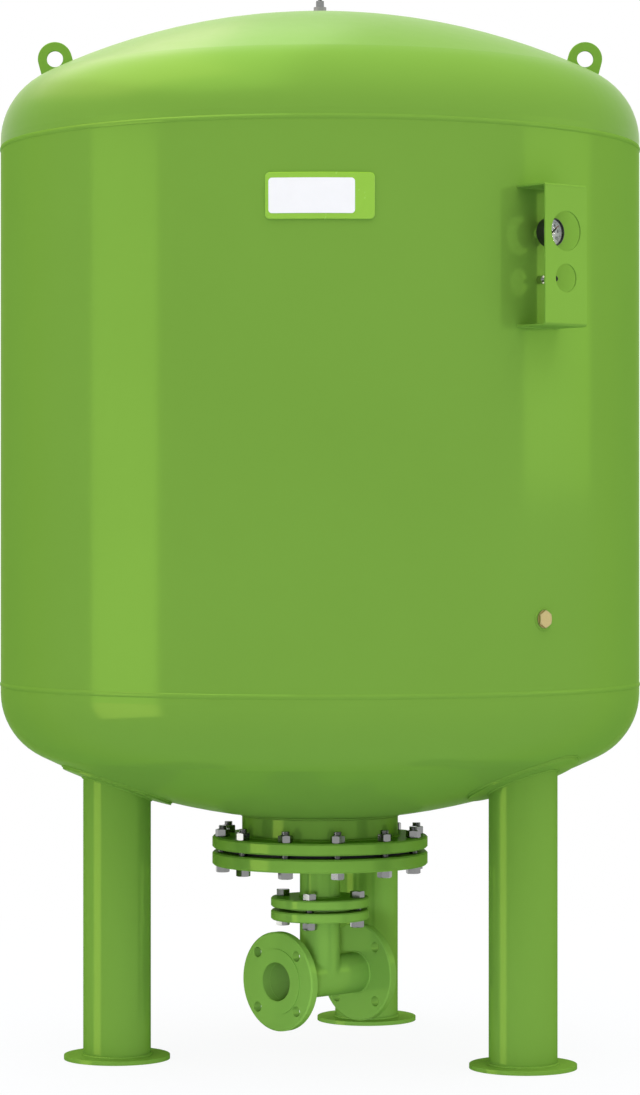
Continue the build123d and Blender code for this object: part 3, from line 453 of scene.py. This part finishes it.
def lathe(name, profile, steps=64):
    """Spin a profile of (radius, height) points round the z axis."""
    bpy.ops.object.select_all(action="DESELECT")
    bpy.ops.mesh.primitive_plane_add(size=MM)
    piece = named(name)
    bpy.ops.object.mode_set(mode="EDIT")
    bpy.ops.mesh.select_all(action="SELECT")
    bpy.ops.mesh.merge(type="CENTER")
    bpy.ops.transform.translate(value=(profile[0][0], 0, profile[0][1]))
    for here, there in zip(profile, profile[1:]):
        step = (there[0] - here[0], 0, there[1] - here[1])
        bpy.ops.mesh.extrude_region_move(TRANSFORM_OT_translate={"value": step})
    bpy.ops.mesh.select_all(action="SELECT")
    bpy.ops.mesh.spin(steps=steps, angle=2 * pi, center=(0, 0, 0), axis=(0, 0, 1))
    bpy.ops.mesh.select_all(action="SELECT")
    bpy.ops.mesh.remove_doubles(threshold=0.001 * MM)
    bpy.ops.mesh.normals_make_consistent(inside=False)
    bpy.ops.object.mode_set(mode="OBJECT")
    return piece


def carve(piece, tool, operation):
    """Apply a boolean with a tool piece, which is used up."""
    modifier = piece.modifiers.new("carve", "BOOLEAN")
    modifier.operation = operation
    modifier.object = tool
    alone(piece)
    bpy.ops.object.modifier_apply(modifier=modifier.name)
    bpy.data.objects.remove(tool)
    return piece


def copy_of(piece, name):
    """A copy with its own mesh."""
    other = piece.copy()
    other.data = piece.data.copy()
    other.name = name
    other.data.name = name
    bpy.context.scene.collection.objects.link(other)
    return other


def joined(pieces, name):
    """Several pieces made into one object."""
    bpy.ops.object.select_all(action="DESELECT")
    for piece in pieces:
        piece.select_set(True)
    bpy.context.view_layer.objects.active = pieces[0]
    bpy.ops.object.join()
    pieces[0].name = name
    pieces[0].data.name = name
    return pieces[0]


def dressed(piece, finish, body="vessel", smooth=30):
    """Give a finished piece its material, smoothing, slot and body."""
    piece.data.materials.clear()
    piece.data.materials.append(finish)
    alone(piece)
    if smooth:
        bpy.ops.object.shade_smooth_by_angle(angle=radians(smooth))
    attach(piece, body)
    return piece


def triangles(piece):
    """Number of triangles in a piece's mesh."""
    return sum(len(polygon.vertices) - 2 for polygon in piece.data.polygons)


# %% Find the separate solids of a node
def solids(node):
    """Lowest and highest corner of each separate solid in a CAD node."""
    shape = bmesh.new()
    shape.from_mesh(nodes[node].data)
    bmesh.ops.remove_doubles(shape, verts=shape.verts, dist=0.001 * MM)
    boxes = []
    waiting = set(shape.verts)
    while waiting:
        island = [waiting.pop()]
        for vert in island:
            for edge in vert.link_edges:
                other = edge.other_vert(vert)
                if other in waiting:
                    waiting.remove(other)
                    island.append(other)
        low = Vector([min(vert.co[axis] for vert in island) for axis in range(3)])
        high = Vector([max(vert.co[axis] for vert in island) for axis in range(3)])
        boxes.append((low, high))
    shape.free()
    return sorted(boxes, key=lambda box: atan2(box[0].y + box[1].y, box[0].x + box[1].x))


main_bolt_boxes = solids("main_flange_bolts")
pipe_bolt_boxes = solids("outlet_bolts")
print("bolts:", len(main_bolt_boxes), "and", len(pipe_bolt_boxes))

# %% [markdown]
# ## Bolts and nuts
# The flanges are held by M16 hexagon bolts.  A plain cylinder with a six-sided block would do from afar.
# Here the hexagon is cut from a turned blank, which leaves the curved chamfers of a real nut, and the
# thread is a two millimetre zigzag wound up with the Screw modifier.

# %% Cut a hexagon from a turned blank
BOLT_RADIUS = 8 * MM
THREAD_PITCH = 2 * MM
BOLT_FLATS = 24 * MM
CHAMFER_SLOPE = tan(radians(30))


def hexagon(name, flats, height, both_ends):
    """Six-sided block on the xy plane whose corners are turned off at one or both ends."""
    corner = flats / sqrt(3)
    face = 0.475 * flats
    rim = 1.02 * corner
    drop = (rim - face) * CHAMFER_SLOPE
    foot = [(0, 0), (face, 0), (rim, drop)] if both_ends else [(0, 0), (rim, 0)]
    blank = lathe("blank", foot + [(rim, height - drop), (face, height), (0, height)], 60)
    bpy.ops.object.select_all(action="DESELECT")
    bpy.ops.mesh.primitive_cylinder_add(vertices=6, radius=corner, depth=height, location=(0, 0, height / 2))
    return carve(named(name), blank, "INTERSECT")


# %% Wind a thread
TURNS_BELOW = 2.11  # no whole number, so that no corner of the thread lies in the plane of the cut
TIP_TURN = radians(3.7)  # keeps the edges of the tip off those of the thread, for a clean cut


def threaded_rod(name, radius, pitch, length, chamfer):
    """Closed rod with a helical thread from z = 0 to its chamfered tip."""
    root = radius - 0.61 * pitch
    bpy.ops.object.select_all(action="DESELECT")
    bpy.ops.mesh.primitive_plane_add(size=MM)
    rod = named(name)
    bpy.ops.object.mode_set(mode="EDIT")
    bpy.ops.mesh.select_all(action="SELECT")
    bpy.ops.mesh.merge(type="CENTER")
    bpy.ops.transform.translate(value=(root, 0, -TURNS_BELOW * pitch))
    flank, flat = 0.375 * pitch, 0.125 * pitch
    for across, up in ((radius - root, flank), (0, flat), (root - radius, flank), (0, flat)):
        bpy.ops.mesh.extrude_region_move(TRANSFORM_OT_translate={"value": (across, 0, up)})
    bpy.ops.object.mode_set(mode="OBJECT")
    screw = rod.modifiers.new("wind", "SCREW")
    screw.steps = 20
    screw.render_steps = 20
    screw.screw_offset = pitch
    screw.iterations = int(length / pitch) + 5
    screw.use_merge_vertices = True
    bpy.ops.object.modifier_apply(modifier=screw.name)
    bpy.ops.object.mode_set(mode="EDIT")
    bpy.ops.mesh.select_all(action="SELECT")
    bpy.ops.mesh.remove_doubles(threshold=0.001 * MM)
    bpy.ops.mesh.bisect(plane_co=(0, 0, 0), plane_no=(0, 0, 1), use_fill=True, clear_inner=True)
    bpy.ops.mesh.select_all(action="SELECT")
    bpy.ops.mesh.bisect(plane_co=(0, 0, length + pitch), plane_no=(0, 0, 1), use_fill=True, clear_outer=True)
    bpy.ops.mesh.select_all(action="SELECT")
    bpy.ops.mesh.normals_make_consistent(inside=False)
    bpy.ops.object.mode_set(mode="OBJECT")
    wide = 1.1 * radius
    tip = [(0, -MM), (wide, -MM), (wide, length - chamfer), (radius - chamfer, length), (0, length)]
    tip = moved(lathe("tip", tip, 40), Matrix.Rotation(TIP_TURN, 4, "Z"))
    return carve(rod, tip, "INTERSECT")


# %% Model one bolt and one nut
HEAD_HEIGHT = 12.5 * MM
NUT_HEIGHT = 14 * MM


def bolt_of(name, shank):
    """Hexagon bolt: its head hangs below z = 0 and its thread stands up."""
    head = moved(hexagon("head", BOLT_FLATS, HEAD_HEIGHT, False), TURN_OVER)
    return joined([head, threaded_rod("shank", BOLT_RADIUS, THREAD_PITCH, shank, 1.3 * MM)], name)


def nut_of(name, flats, height, thread_radius):
    """Hexagon nut on the xy plane with a countersunk bore."""
    sink = 1.1 * thread_radius
    bore = 0.95 * thread_radius
    tool = [(0, -MM), (sink + MM, -MM), (bore, sink - bore), (bore, height - sink + bore)]
    tool += [(sink + MM, height + MM), (0, height + MM)]
    return carve(hexagon(name, flats, height, True), lathe("bore", tool, 48), "DIFFERENCE")


main_low, main_high = main_bolt_boxes[0]
pipe_low, pipe_high = pipe_bolt_boxes[0]
main_bolt = bolt_of("main_bolt", main_high.z - main_low.z - HEAD_HEIGHT)
pipe_bolt = bolt_of("pipe_bolt", pipe_high.z - pipe_low.z - HEAD_HEIGHT)
nut = nut_of("nut", BOLT_FLATS, NUT_HEIGHT, BOLT_RADIUS)
print("triangles:", triangles(main_bolt), triangles(pipe_bolt), triangles(nut))


# %% Fit them round the flanges
def fitted(pattern, name, boxes, bearing, flip, first_turn):
    """Copies of a fastener at the places of the CAD solids, each stopped at its own angle."""
    copies = []
    for index, (low, high) in enumerate(boxes):
        turn = Matrix.Rotation(radians(first_turn + 37 * index), 4, "Z")
        over = TURN_OVER if flip else Matrix.Identity(4)
        spot = Matrix.Translation(((low.x + high.x) / 2, (low.y + high.y) / 2, bearing))
        copies.append(moved(copy_of(pattern, f"{name}_{index}"), spot @ over @ turn))
    return joined(copies, name)


cover_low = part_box("cover_flange")[0]
ring_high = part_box("vessel_flange")[1]
outlet_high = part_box("outlet_flange")[1]
branch_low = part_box("tee_top_flange")[0]

main_bolts = fitted(main_bolt, "threaded_main_bolts", main_bolt_boxes, cover_low.z, False, 11)
main_nuts = fitted(nut, "chamfered_main_nuts", solids("main_flange_nuts"), ring_high.z, False, 23)
pipe_bolts = fitted(pipe_bolt, "threaded_outlet_bolts", pipe_bolt_boxes, outlet_high.z, True, 5)
pipe_nuts = fitted(nut, "chamfered_outlet_nuts", solids("outlet_nuts"), branch_low.z, True, 17)
for piece, node in (
    (main_bolts, "main_flange_bolts"),
    (main_nuts, "main_flange_nuts"),
    (pipe_bolts, "outlet_bolts"),
    (pipe_nuts, "outlet_nuts"),
):
    dressed(piece, zinc)
    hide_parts(node)
    print(piece.name, triangles(piece))
for pattern in (main_bolt, pipe_bolt, nut):
    bpy.data.objects.remove(pattern)

# %% [markdown]
# ## Weld beads
# Everything on this vessel is welded, so every joint has a bead: a round cord of metal with fine ripples,
# one for each small step of the torch.  A loop of edges is laid round the joint and falls along its own z
# axis onto the plate below, by the Shrinkwrap modifier.  Made into a curve, it gets its thickness, and a
# radius that rises and falls from point to point gives the ripples.

# %% Lay a bead
RIPPLE = (0.90, 1.0, 1.08, 1.0)


def ring(radius, centre, facing=(0, 0, 1)):
    """Loop of edges round a centre, its points about 1.5 mm apart."""
    points = 4 * round(2 * pi * radius / (6 * MM))
    turn = Vector(facing).to_track_quat("Z", "Y").to_euler()
    bpy.ops.object.select_all(action="DESELECT")
    bpy.ops.mesh.primitive_circle_add(vertices=points, radius=radius, location=centre, rotation=turn)
    return bpy.context.object


def outline(width, depth, matrix):
    """Rectangular loop of edges with points about 2 mm apart."""
    bpy.ops.object.select_all(action="DESELECT")
    bpy.ops.mesh.primitive_plane_add(size=1)
    loop = bpy.context.object
    loop.scale = (width, depth, 1)
    bpy.ops.object.transform_apply(scale=True)
    bpy.ops.object.mode_set(mode="EDIT")
    bpy.ops.mesh.select_all(action="SELECT")
    bpy.ops.mesh.delete(type="ONLY_FACE")
    bpy.ops.mesh.select_all(action="SELECT")
    bpy.ops.mesh.subdivide(number_cuts=15)
    bpy.ops.object.mode_set(mode="OBJECT")
    loop.matrix_world = matrix
    return loop


def bead(loop, size, plate=None):
    """Make a loop into a bead of this radius, after it has fallen onto a plate."""
    alone(loop)
    if plate:
        fall = loop.modifiers.new("fall", "SHRINKWRAP")
        fall.target = nodes[plate]
        fall.wrap_method = "PROJECT"
        fall.use_project_z = True
        bpy.ops.object.modifier_apply(modifier=fall.name)
    bpy.ops.object.convert(target="CURVE")
    curve = loop.data
    for spline in curve.splines:
        for index, point in enumerate(spline.points):
            point.radius = RIPPLE[index % 4]
    curve.dimensions = "3D"
    curve.bevel_depth = size
    curve.bevel_resolution = 2
    bpy.ops.object.convert(target="MESH")
    bpy.ops.object.transform_apply(location=True, rotation=True, scale=True)
    bpy.ops.object.mode_set(mode="EDIT")
    bpy.ops.mesh.select_all(action="SELECT")
    bpy.ops.mesh.remove_doubles(threshold=0.01 * MM)
    bpy.ops.mesh.normals_make_consistent(inside=False)
    bpy.ops.object.mode_set(mode="OBJECT")
    return loop


def centre_of(node):
    """Middle of a node's box."""
    low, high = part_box(node)
    return (low + high) / 2


def radius_of(node):
    """Half the width of a round upright node."""
    low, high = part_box(node)
    return (high.x - low.x) / 2


# %% Weld the legs
leg_welds = []
for side in ("left", "right", "rear"):
    centre = centre_of(f"leg_{side}")
    leg_radius = radius_of(f"leg_{side}")
    foot_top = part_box(f"foot_plate_{side}")[1].z
    pad_radius = radius_of(f"leg_pad_{side}")
    below = (centre.x, centre.y, 0.3)
    leg_welds.append(bead(ring(leg_radius, (centre.x, centre.y, foot_top)), 3.0 * MM))
    leg_welds.append(bead(ring(leg_radius + 0.6 * MM, below), 2.4 * MM, f"leg_pad_{side}"))
    leg_welds.append(bead(ring(pad_radius + 0.4 * MM, below), 2.2 * MM, "lower_head"))
leg_welds = dressed(joined(leg_welds, "leg_weld_beads"), enamel, smooth=60)
print(leg_welds.name, triangles(leg_welds))

# %% Weld the neck and the pipe
neck_radius = radius_of("neck")
pipe_radius = radius_of("outlet_pipe")
neck_welds = [
    bead(ring(neck_radius + 1.0 * MM, (0, 0, ring_high.z + 5 * MM)), 3.0 * MM, "lower_head"),
    bead(ring(neck_radius, (0, 0, ring_high.z)), 3.0 * MM),
    bead(ring(pipe_radius, (0, 0, cover_low.z)), 2.4 * MM),
    bead(ring(pipe_radius, (0, 0, outlet_high.z)), 2.4 * MM),
    bead(ring(pipe_radius, (0, 0, branch_low.z)), 2.4 * MM),
]
run_axis = Vector(mounts["tee_run_bore"]["axis"])
run_centre = Vector(mounts["tee_run_bore"]["pos_m"])
reach = mounts["tee_run_bore"]["dims"]["length_mm"] / 2 * MM
FLANGE_THICKNESS = 20 * MM
for side in (1, -1):
    back = run_centre + side * (reach - FLANGE_THICKNESS) * run_axis
    neck_welds.append(bead(ring(pipe_radius, back, run_axis), 2.4 * MM))
neck_welds = dressed(joined(neck_welds, "neck_weld_beads"), enamel, smooth=60)
print(neck_welds.name, triangles(neck_welds))

# %% Weld the lugs, the boss and the bracket
LUG_WIDTH = 64 * MM
LUG_THICKNESS = 10 * MM
LUG_LEAN = radians(15)
BRACKET_SHEET = 3 * MM
BRACKET_WIDTH = 100 * MM
boss_ring = ring(radius_of("top_boss") + 0.5 * MM, (0, 0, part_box("top_boss")[0].z + 0.1), DOWN)
top_welds = [bead(boss_ring, 2.4 * MM, "upper_head")]
for side in ("left", "right"):
    eye = Vector(mounts[f"lug_eye_{side}"]["pos_m"])
    sign = 1 if side == "right" else -1
    spot = Matrix.Translation(eye) @ Matrix.Rotation(sign * LUG_LEAN, 4, "Y") @ TURN_OVER
    top_welds.append(bead(outline(LUG_WIDTH, LUG_THICKNESS, spot), 2.6 * MM, "upper_head"))
top_welds = dressed(joined(top_welds, "top_weld_beads"), enamel, smooth=60)

gauge_axis = Vector(joints["gauge_pointer_turn"]["axis"]).normalized()
gauge_axis = gauge_axis if gauge_axis.y < 0 else -gauge_axis
gauge_side = UP.cross(gauge_axis).normalized()
bracket_low, bracket_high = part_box("gauge_bracket")
bracket_welds = []
for height in (bracket_low.z + BRACKET_SHEET / 2, bracket_high.z - BRACKET_SHEET / 2):
    spot = facing_matrix(0.62 * gauge_axis + height * UP, -gauge_axis, gauge_side)
    bracket_welds.append(bead(outline(BRACKET_WIDTH, BRACKET_SHEET, spot), 1.7 * MM, "shell"))
gauge_height = centre_of("gauge_case").z
stem_ring = ring(10.4 * MM, 0.66 * gauge_axis + gauge_height * UP, -gauge_axis)
bracket_welds.append(bead(stem_ring, 2.0 * MM, "shell"))
plug_middle = centre_of("rupture_socket")
plug_axis = Vector((plug_middle.x, plug_middle.y, 0)).normalized()
socket_ring = ring(20.0 * MM, 0.66 * plug_axis + plug_middle.z * UP, -plug_axis)
bracket_welds.append(bead(socket_ring, 1.0 * MM, "shell"))
bracket_welds = dressed(joined(bracket_welds, "bracket_weld_beads"), enamel, smooth=60)
print("top and bracket welds:", triangles(top_welds), triangles(bracket_welds))

# %% [markdown]
# ## The tee
# The tee is a forging: where the branch leaves the run the metal is thick and the corner is round.  Two
# cylinders show a hard seam there.  A voxel remesh melts them into one skin, a few passes of the Smooth
# modifier round the crotch, and Solidify gives the pipe wall again once the ends are cut open.

# %% Forge the tee
PIPE_WALL = 2 * MM


def bar(radius, start, end):
    """Round bar between two points."""
    along = Vector(end) - Vector(start)
    turn = along.to_track_quat("Z", "Y").to_euler()
    middle = (Vector(start) + Vector(end)) / 2
    size = {"vertices": 96, "radius": radius, "depth": along.length}
    bpy.ops.object.select_all(action="DESELECT")
    bpy.ops.mesh.primitive_cylinder_add(**size, location=middle, rotation=turn)
    return named("bar")


def melted(piece, voxel, passes):
    """Remesh a piece into one skin and smooth it."""
    alone(piece)
    remesh = piece.modifiers.new("melt", "REMESH")
    remesh.mode = "VOXEL"
    remesh.voxel_size = voxel
    bpy.ops.object.modifier_apply(modifier=remesh.name)
    smooth = piece.modifiers.new("smooth", "SMOOTH")
    smooth.factor = 0.5
    smooth.iterations = passes
    bpy.ops.object.modifier_apply(modifier=smooth.name)
    return piece


def cut_open(piece, point, facing):
    """Remove what lies beyond a plane and leave the cut open."""
    alone(piece)
    bpy.ops.object.mode_set(mode="EDIT")
    bpy.ops.mesh.select_all(action="SELECT")
    bpy.ops.mesh.bisect(plane_co=point, plane_no=facing, clear_outer=True)
    bpy.ops.object.mode_set(mode="OBJECT")


branch_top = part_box("tee_body")[1].z
spare = 12 * MM
skin_radius = pipe_radius + 0.25 * MM
half_run = (reach + spare) * run_axis
run_bar = bar(skin_radius, run_centre - half_run, run_centre + half_run)
branch_bar = bar(skin_radius, run_centre, Vector((0, 0, branch_top + spare)))
tee = melted(joined([run_bar, branch_bar], "forged_tee"), 2.2 * MM, 22)
cut_open(tee, run_centre + (reach - 0.5 * MM) * run_axis, run_axis)
cut_open(tee, run_centre - (reach - 0.5 * MM) * run_axis, -run_axis)
cut_open(tee, (0, 0, branch_top - 0.5 * MM), UP)
wall = tee.modifiers.new("wall", "SOLIDIFY")
wall.thickness = PIPE_WALL
wall.offset = -1
alone(tee)
bpy.ops.object.modifier_apply(modifier=wall.name)
dressed(tee, enamel, smooth=60)
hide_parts("tee_body")
print(tee.name, triangles(tee))

# %% [markdown]
# ## The hanger stud on top
# The bladder hangs from a stud that ends above the upper head in a hexagon nut.  Stud and nut reuse the
# thread and the hexagon of the flange bolts, at their own sizes.

# %% Fit the stud and its nut
STUD_RADIUS = 4 * MM
STUD_PITCH = 1.25 * MM
TOP_NUT_FLATS = 15 * MM
stud_low, stud_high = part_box("hanger_stud")
nut_low, nut_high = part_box("top_nut")
stud = threaded_rod("threaded_stud", STUD_RADIUS, STUD_PITCH, stud_high.z - stud_low.z, 0.8 * MM)
moved(stud, Matrix.Translation((0, 0, stud_low.z)))
top_nut = nut_of("chamfered_top_nut", TOP_NUT_FLATS, nut_high.z - nut_low.z, STUD_RADIUS)
moved(top_nut, Matrix.Translation((0, 0, nut_low.z)))
for piece, node in ((stud, "hanger_stud"), (top_nut, "top_nut")):
    dressed(piece, zinc)
    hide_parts(node)
    print(piece.name, triangles(piece))

# %% [markdown]
# ## A lamp for the metal
# The low box that lights the legs is amber, which suits green paint, but zinc shows a lamp's colour as a
# mirror does, and the nuts would turn pink.  Light linking keeps that box and the rosy one off the zinc
# pieces and gives them a neutral box at the same place, which nothing else sees.

# %% Link the lamps
for lamp, state in ((metal_box, "INCLUDE"), (low_box, "EXCLUDE"), (edge_box, "EXCLUDE")):
    group = bpy.data.collections.new(f"{lamp.name}_metal")
    for piece in (main_bolts, main_nuts, pipe_bolts, pipe_nuts, stud, top_nut):
        group.objects.link(piece)
    for link in group.collection_objects:
        link.light_linking.link_state = state
    lamp.light_linking.receiver_collection = group
    print(lamp.name, state, len(group.objects), "pieces")

# %% [markdown]
# ## The gauge
# A pressure gauge is judged by its face.  The print is modelled, not painted: ticks and numbers are thin
# sheets of ink that stand on the dial, so they stay sharp in any view.  The scale runs over 270 degrees,
# and the needle's blade is widest near its hub, as on a real one.

# %% Find the gauge's own directions
DIAL_START = radians(225)
DIAL_SWEEP = radians(270)
DIAL_UNITS = 10
INK = 0.04 * MM


def along(node, axis):
    """Least and greatest distance of a node's points along an axis."""
    distances = [vert.co.dot(axis) for vert in nodes[node].data.vertices]
    return min(distances), max(distances)


dial_front = along("gauge_dial", gauge_axis)[1]
pointer_front = along("gauge_pointer", gauge_axis)[1]
window_front = along("gauge_window", gauge_axis)[1]
dial_radius = (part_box("gauge_dial")[1].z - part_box("gauge_dial")[0].z) / 2
print("dial radius:", round(dial_radius / MM, 2), "mm")


def gauge_place(distance, turn=0.0):
    """Matrix of a piece that lies across the gauge's axis, x to the reader's right."""
    spot = facing_matrix(distance * gauge_axis + gauge_height * UP, gauge_axis, gauge_side)
    return spot @ Matrix.Rotation(turn, 4, "Z")


# %% Print the dial
TICKS = 5 * DIAL_UNITS
NUMERAL_PLACE = 0.60


def stroke(name, length, width, thickness=INK):
    """Thin bar from x = 0 outwards."""
    bpy.ops.object.select_all(action="DESELECT")
    bpy.ops.mesh.primitive_plane_add(size=1, location=(length / 2, 0, 0))
    piece = bpy.context.object
    piece.scale = (length, width, 1)
    named(name)
    bpy.ops.object.mode_set(mode="EDIT")
    bpy.ops.mesh.select_all(action="SELECT")
    bpy.ops.mesh.extrude_region_move(TRANSFORM_OT_translate={"value": (0, 0, thickness)})
    bpy.ops.mesh.select_all(action="SELECT")
    bpy.ops.mesh.normals_make_consistent(inside=False)
    bpy.ops.object.mode_set(mode="OBJECT")
    return piece


def numeral(value, size):
    """One number of the scale, centred on the origin, as a mesh."""
    bpy.ops.object.select_all(action="DESELECT")
    bpy.ops.object.text_add()
    text = bpy.context.object
    text.data.body = str(value)
    text.data.size = size
    text.data.align_x = "CENTER"
    text.data.align_y = "CENTER"
    text.data.offset = 0.035 * size
    text.data.extrude = INK / 2
    text.data.resolution_u = 3
    bpy.ops.object.convert(target="MESH")
    return named(f"numeral_{value}")


long_tick = stroke("long_tick", 3.2 * MM, 0.9 * MM)
short_tick = stroke("short_tick", 1.8 * MM, 0.4 * MM)
tick_start = dial_radius - 5.2 * MM
prints = []
for step in range(TICKS + 1):
    angle = DIAL_START - DIAL_SWEEP * step / TICKS
    pattern = short_tick if step % 5 else long_tick
    spot = gauge_place(dial_front, angle) @ Matrix.Translation((tick_start, 0, 0))
    prints.append(moved(copy_of(pattern, f"tick_{step}"), spot))
for value in range(0, DIAL_UNITS + 1, 2):
    angle = DIAL_START - DIAL_SWEEP * value / DIAL_UNITS
    out = NUMERAL_PLACE * dial_radius
    where = (out * cos(angle), out * sin(angle), INK / 2)
    prints.append(moved(numeral(value, 7.5 * MM), gauge_place(dial_front) @ Matrix.Translation(where)))
for pattern in (long_tick, short_tick):
    bpy.data.objects.remove(pattern)
dial_print = dressed(joined(prints, "dial_print"), print_black, smooth=0)
print(dial_print.name, triangles(dial_print))

# %% Shape the needle's blade
READING = radians(90 - 49)
NEEDLE_SHEET = 0.25 * MM
HUB_RADIUS = 3.4 * MM
HUB_HEIGHT = 0.4 * MM
bpy.ops.object.select_all(action="DESELECT")
bpy.ops.mesh.primitive_plane_add(size=1)
blade = bpy.context.object
blade.scale = (18 * MM, 5.0 * MM, 1)
blade.location = (3.5 * MM, 0, 0)
named("needle_blade")
bpy.ops.object.mode_set(mode="EDIT")
edges = bmesh.from_edit_mesh(blade.data)
for vert in edges.verts:
    vert.select_set(vert.co.x > 0)
edges.select_flush_mode()
bpy.ops.transform.resize(value=(1, 0.62, 1))
bpy.ops.mesh.select_all(action="SELECT")
bpy.ops.mesh.extrude_region_move(TRANSFORM_OT_translate={"value": (0, 0, NEEDLE_SHEET)})
bpy.ops.mesh.select_all(action="SELECT")
bpy.ops.mesh.normals_make_consistent(inside=False)
bpy.ops.mesh.bevel(offset=0.08 * MM, segments=1)
bpy.ops.object.mode_set(mode="OBJECT")
hub_profile = [(0, 0), (HUB_RADIUS, 0), (HUB_RADIUS, NEEDLE_SHEET), (3.1 * MM, HUB_HEIGHT), (0, HUB_HEIGHT)]
hub = lathe("hub", hub_profile, 40)
needle = joined([blade, hub], "needle_blade")
moved(needle, gauge_place(pointer_front, READING))
dressed(needle, print_black, body="pointer")
print(needle.name, triangles(needle))

# %% [markdown]
# ## The set marker
# The owner turns a red marker to the filling pressure, by a slot in the middle of the pane.  A red strip
# would hide the needle, so only its tip is red: the arm is black like the needle and rides over its hub.

# %% Shape the set marker
MARKER_SHEET = 0.4 * MM
ARM_LENGTH = 10.5 * MM
TIP_LENGTH = 8 * MM
marker_back, marker_front = along("gauge_marker", gauge_axis)
rise = marker_front - marker_back
arm = stroke("marker_arm", ARM_LENGTH, 2.0 * MM, MARKER_SHEET)
stub_profile = [(0, 0), (2 * MM, 0), (2 * MM, MARKER_SHEET), (0.9 * MM, MARKER_SHEET)]
stub_profile += [(0.9 * MM, rise - 0.2 * MM), (0.7 * MM, rise), (0, rise)]
arm = moved(joined([arm, lathe("stub", stub_profile, 40)], "marker_arm"), gauge_place(marker_back, READING))
dressed(arm, print_black, body="set_marker")
tip = stroke("marker_tip", TIP_LENGTH, 0.8 * MM, MARKER_SHEET)
moved(tip, gauge_place(marker_back, READING) @ Matrix.Translation((ARM_LENGTH, 0, 0)))
dressed(tip, marker_red, body="set_marker")
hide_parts("gauge_marker")
print("marker:", triangles(arm), triangles(tip))

# %% [markdown]
# ## The gauge's window
# The pane is a turned disc of clear plastic with a hole for the marker's stub and a chamfered rim.  A thin
# black ring under it keeps it off the dial.

# %% Glaze the gauge
RING_WALL = 0.3 * MM
PANE = 2 * MM
pane_radius = dial_radius - 0.05 * MM
stub_gap = 0.95 * MM
depth = window_front - dial_front
ring_profile = [(pane_radius - RING_WALL, 0), (pane_radius, 0), (pane_radius, depth - PANE)]
ring_profile += [(pane_radius - RING_WALL, depth - PANE), (pane_radius - RING_WALL, 0)]
pane_profile = [(stub_gap, depth - PANE), (pane_radius, depth - PANE), (pane_radius, depth - 0.4 * MM)]
pane_profile += [(pane_radius - 0.4 * MM, depth), (stub_gap, depth), (stub_gap, depth - PANE)]
seal = moved(lathe("window_seal", ring_profile, 96), gauge_place(dial_front))
dressed(seal, case_black)
pane = moved(lathe("window_pane", pane_profile, 96), gauge_place(dial_front))
dressed(pane, pane_clear)
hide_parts("gauge_window")
print("pane:", triangles(pane), "seal:", triangles(seal))

# %% [markdown]
# ## The valve cap
# The charging valve wears a screwed plastic cap with grip ribs.  It is turned as a closed thimble, and
# every third row of its outer points is drawn outwards, which raises the ribs.

# %% Turn and rib the cap
CAP_WALL = 1.4 * MM
RIB_ROWS = 72
cap_low, cap_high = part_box("valve_cap")
cap_radius = (cap_high.z - cap_low.z) / 2
cap_back, cap_front = along("valve_cap", gauge_axis)
cap_length = cap_front - cap_back
skirt = 0.95 * cap_radius
bore = cap_radius - CAP_WALL
cap_profile = [(bore, 0), (skirt - 0.3 * MM, 0), (skirt, 0.5 * MM), (skirt, cap_length - 2.4 * MM)]
cap_profile += [(0.9 * skirt, cap_length - 0.8 * MM), (0.72 * skirt, cap_length), (0, cap_length)]
cap_profile += [(0, cap_length - CAP_WALL), (bore, cap_length - CAP_WALL), (bore, 0)]
cap = lathe("ribbed_cap", cap_profile, RIB_ROWS)
alone(cap)
bpy.ops.object.mode_set(mode="EDIT")
points = bmesh.from_edit_mesh(cap.data)
for vert in points.verts:
    row = round(atan2(vert.co.y, vert.co.x) / (2 * pi / RIB_ROWS))
    on_skirt = abs(hypot(vert.co.x, vert.co.y) - skirt) < 0.05 * MM
    vert.select_set(on_skirt and row % 3 == 0)
points.select_flush_mode()
draw = cap_radius / skirt
bpy.ops.transform.resize(value=(draw, draw, 1), center_override=(0, 0, 0))
bpy.ops.object.mode_set(mode="OBJECT")
cap_origin = cap_back * gauge_axis + centre_of("valve_cap").z * UP
moved(cap, facing_matrix(cap_origin, gauge_axis, gauge_side))
dressed(cap, cap_black, body="valve_cap", smooth=20)
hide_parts("valve_cap")
print(cap.name, triangles(cap))

# %% [markdown]
# ## The plug of the rupture detector
# The plug is turned from hexagon bar: a chamfered head, a collar that presses on the seal, and a threaded
# shank in the socket.  It is drawn with the tools of the flange bolts and turned so that two corners of
# its head stand upright.

# %% Turn the plug
PLUG_FLATS = 28 * MM
PLUG_COLLAR = 16 * MM
PLUG_THREAD = 11.7 * MM
PLUG_PITCH = 1.5 * MM
COLLAR_HEIGHT = 1 * MM
plug_back, plug_front = along("rupture_plug", plug_axis)
seat = along("plug_seal", plug_axis)[1]
head = hexagon("hexagon_plug", PLUG_FLATS, plug_front - seat, False)
collar_profile = [(0, 0), (PLUG_COLLAR, 0), (PLUG_COLLAR, 0.7 * COLLAR_HEIGHT)]
collar_profile += [(PLUG_COLLAR - 0.3 * COLLAR_HEIGHT, COLLAR_HEIGHT), (0, COLLAR_HEIGHT)]
collar = lathe("collar", collar_profile, 96)
shank = moved(threaded_rod("shank", PLUG_THREAD, PLUG_PITCH, seat - plug_back, MM), TURN_OVER)
plug = joined([head, collar, shank], "hexagon_plug")
moved(plug, facing_matrix(seat * plug_axis + plug_middle.z * UP, plug_axis, UP.cross(plug_axis)))
dressed(plug, brass)
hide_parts("rupture_plug")
print(plug.name, triangles(plug))
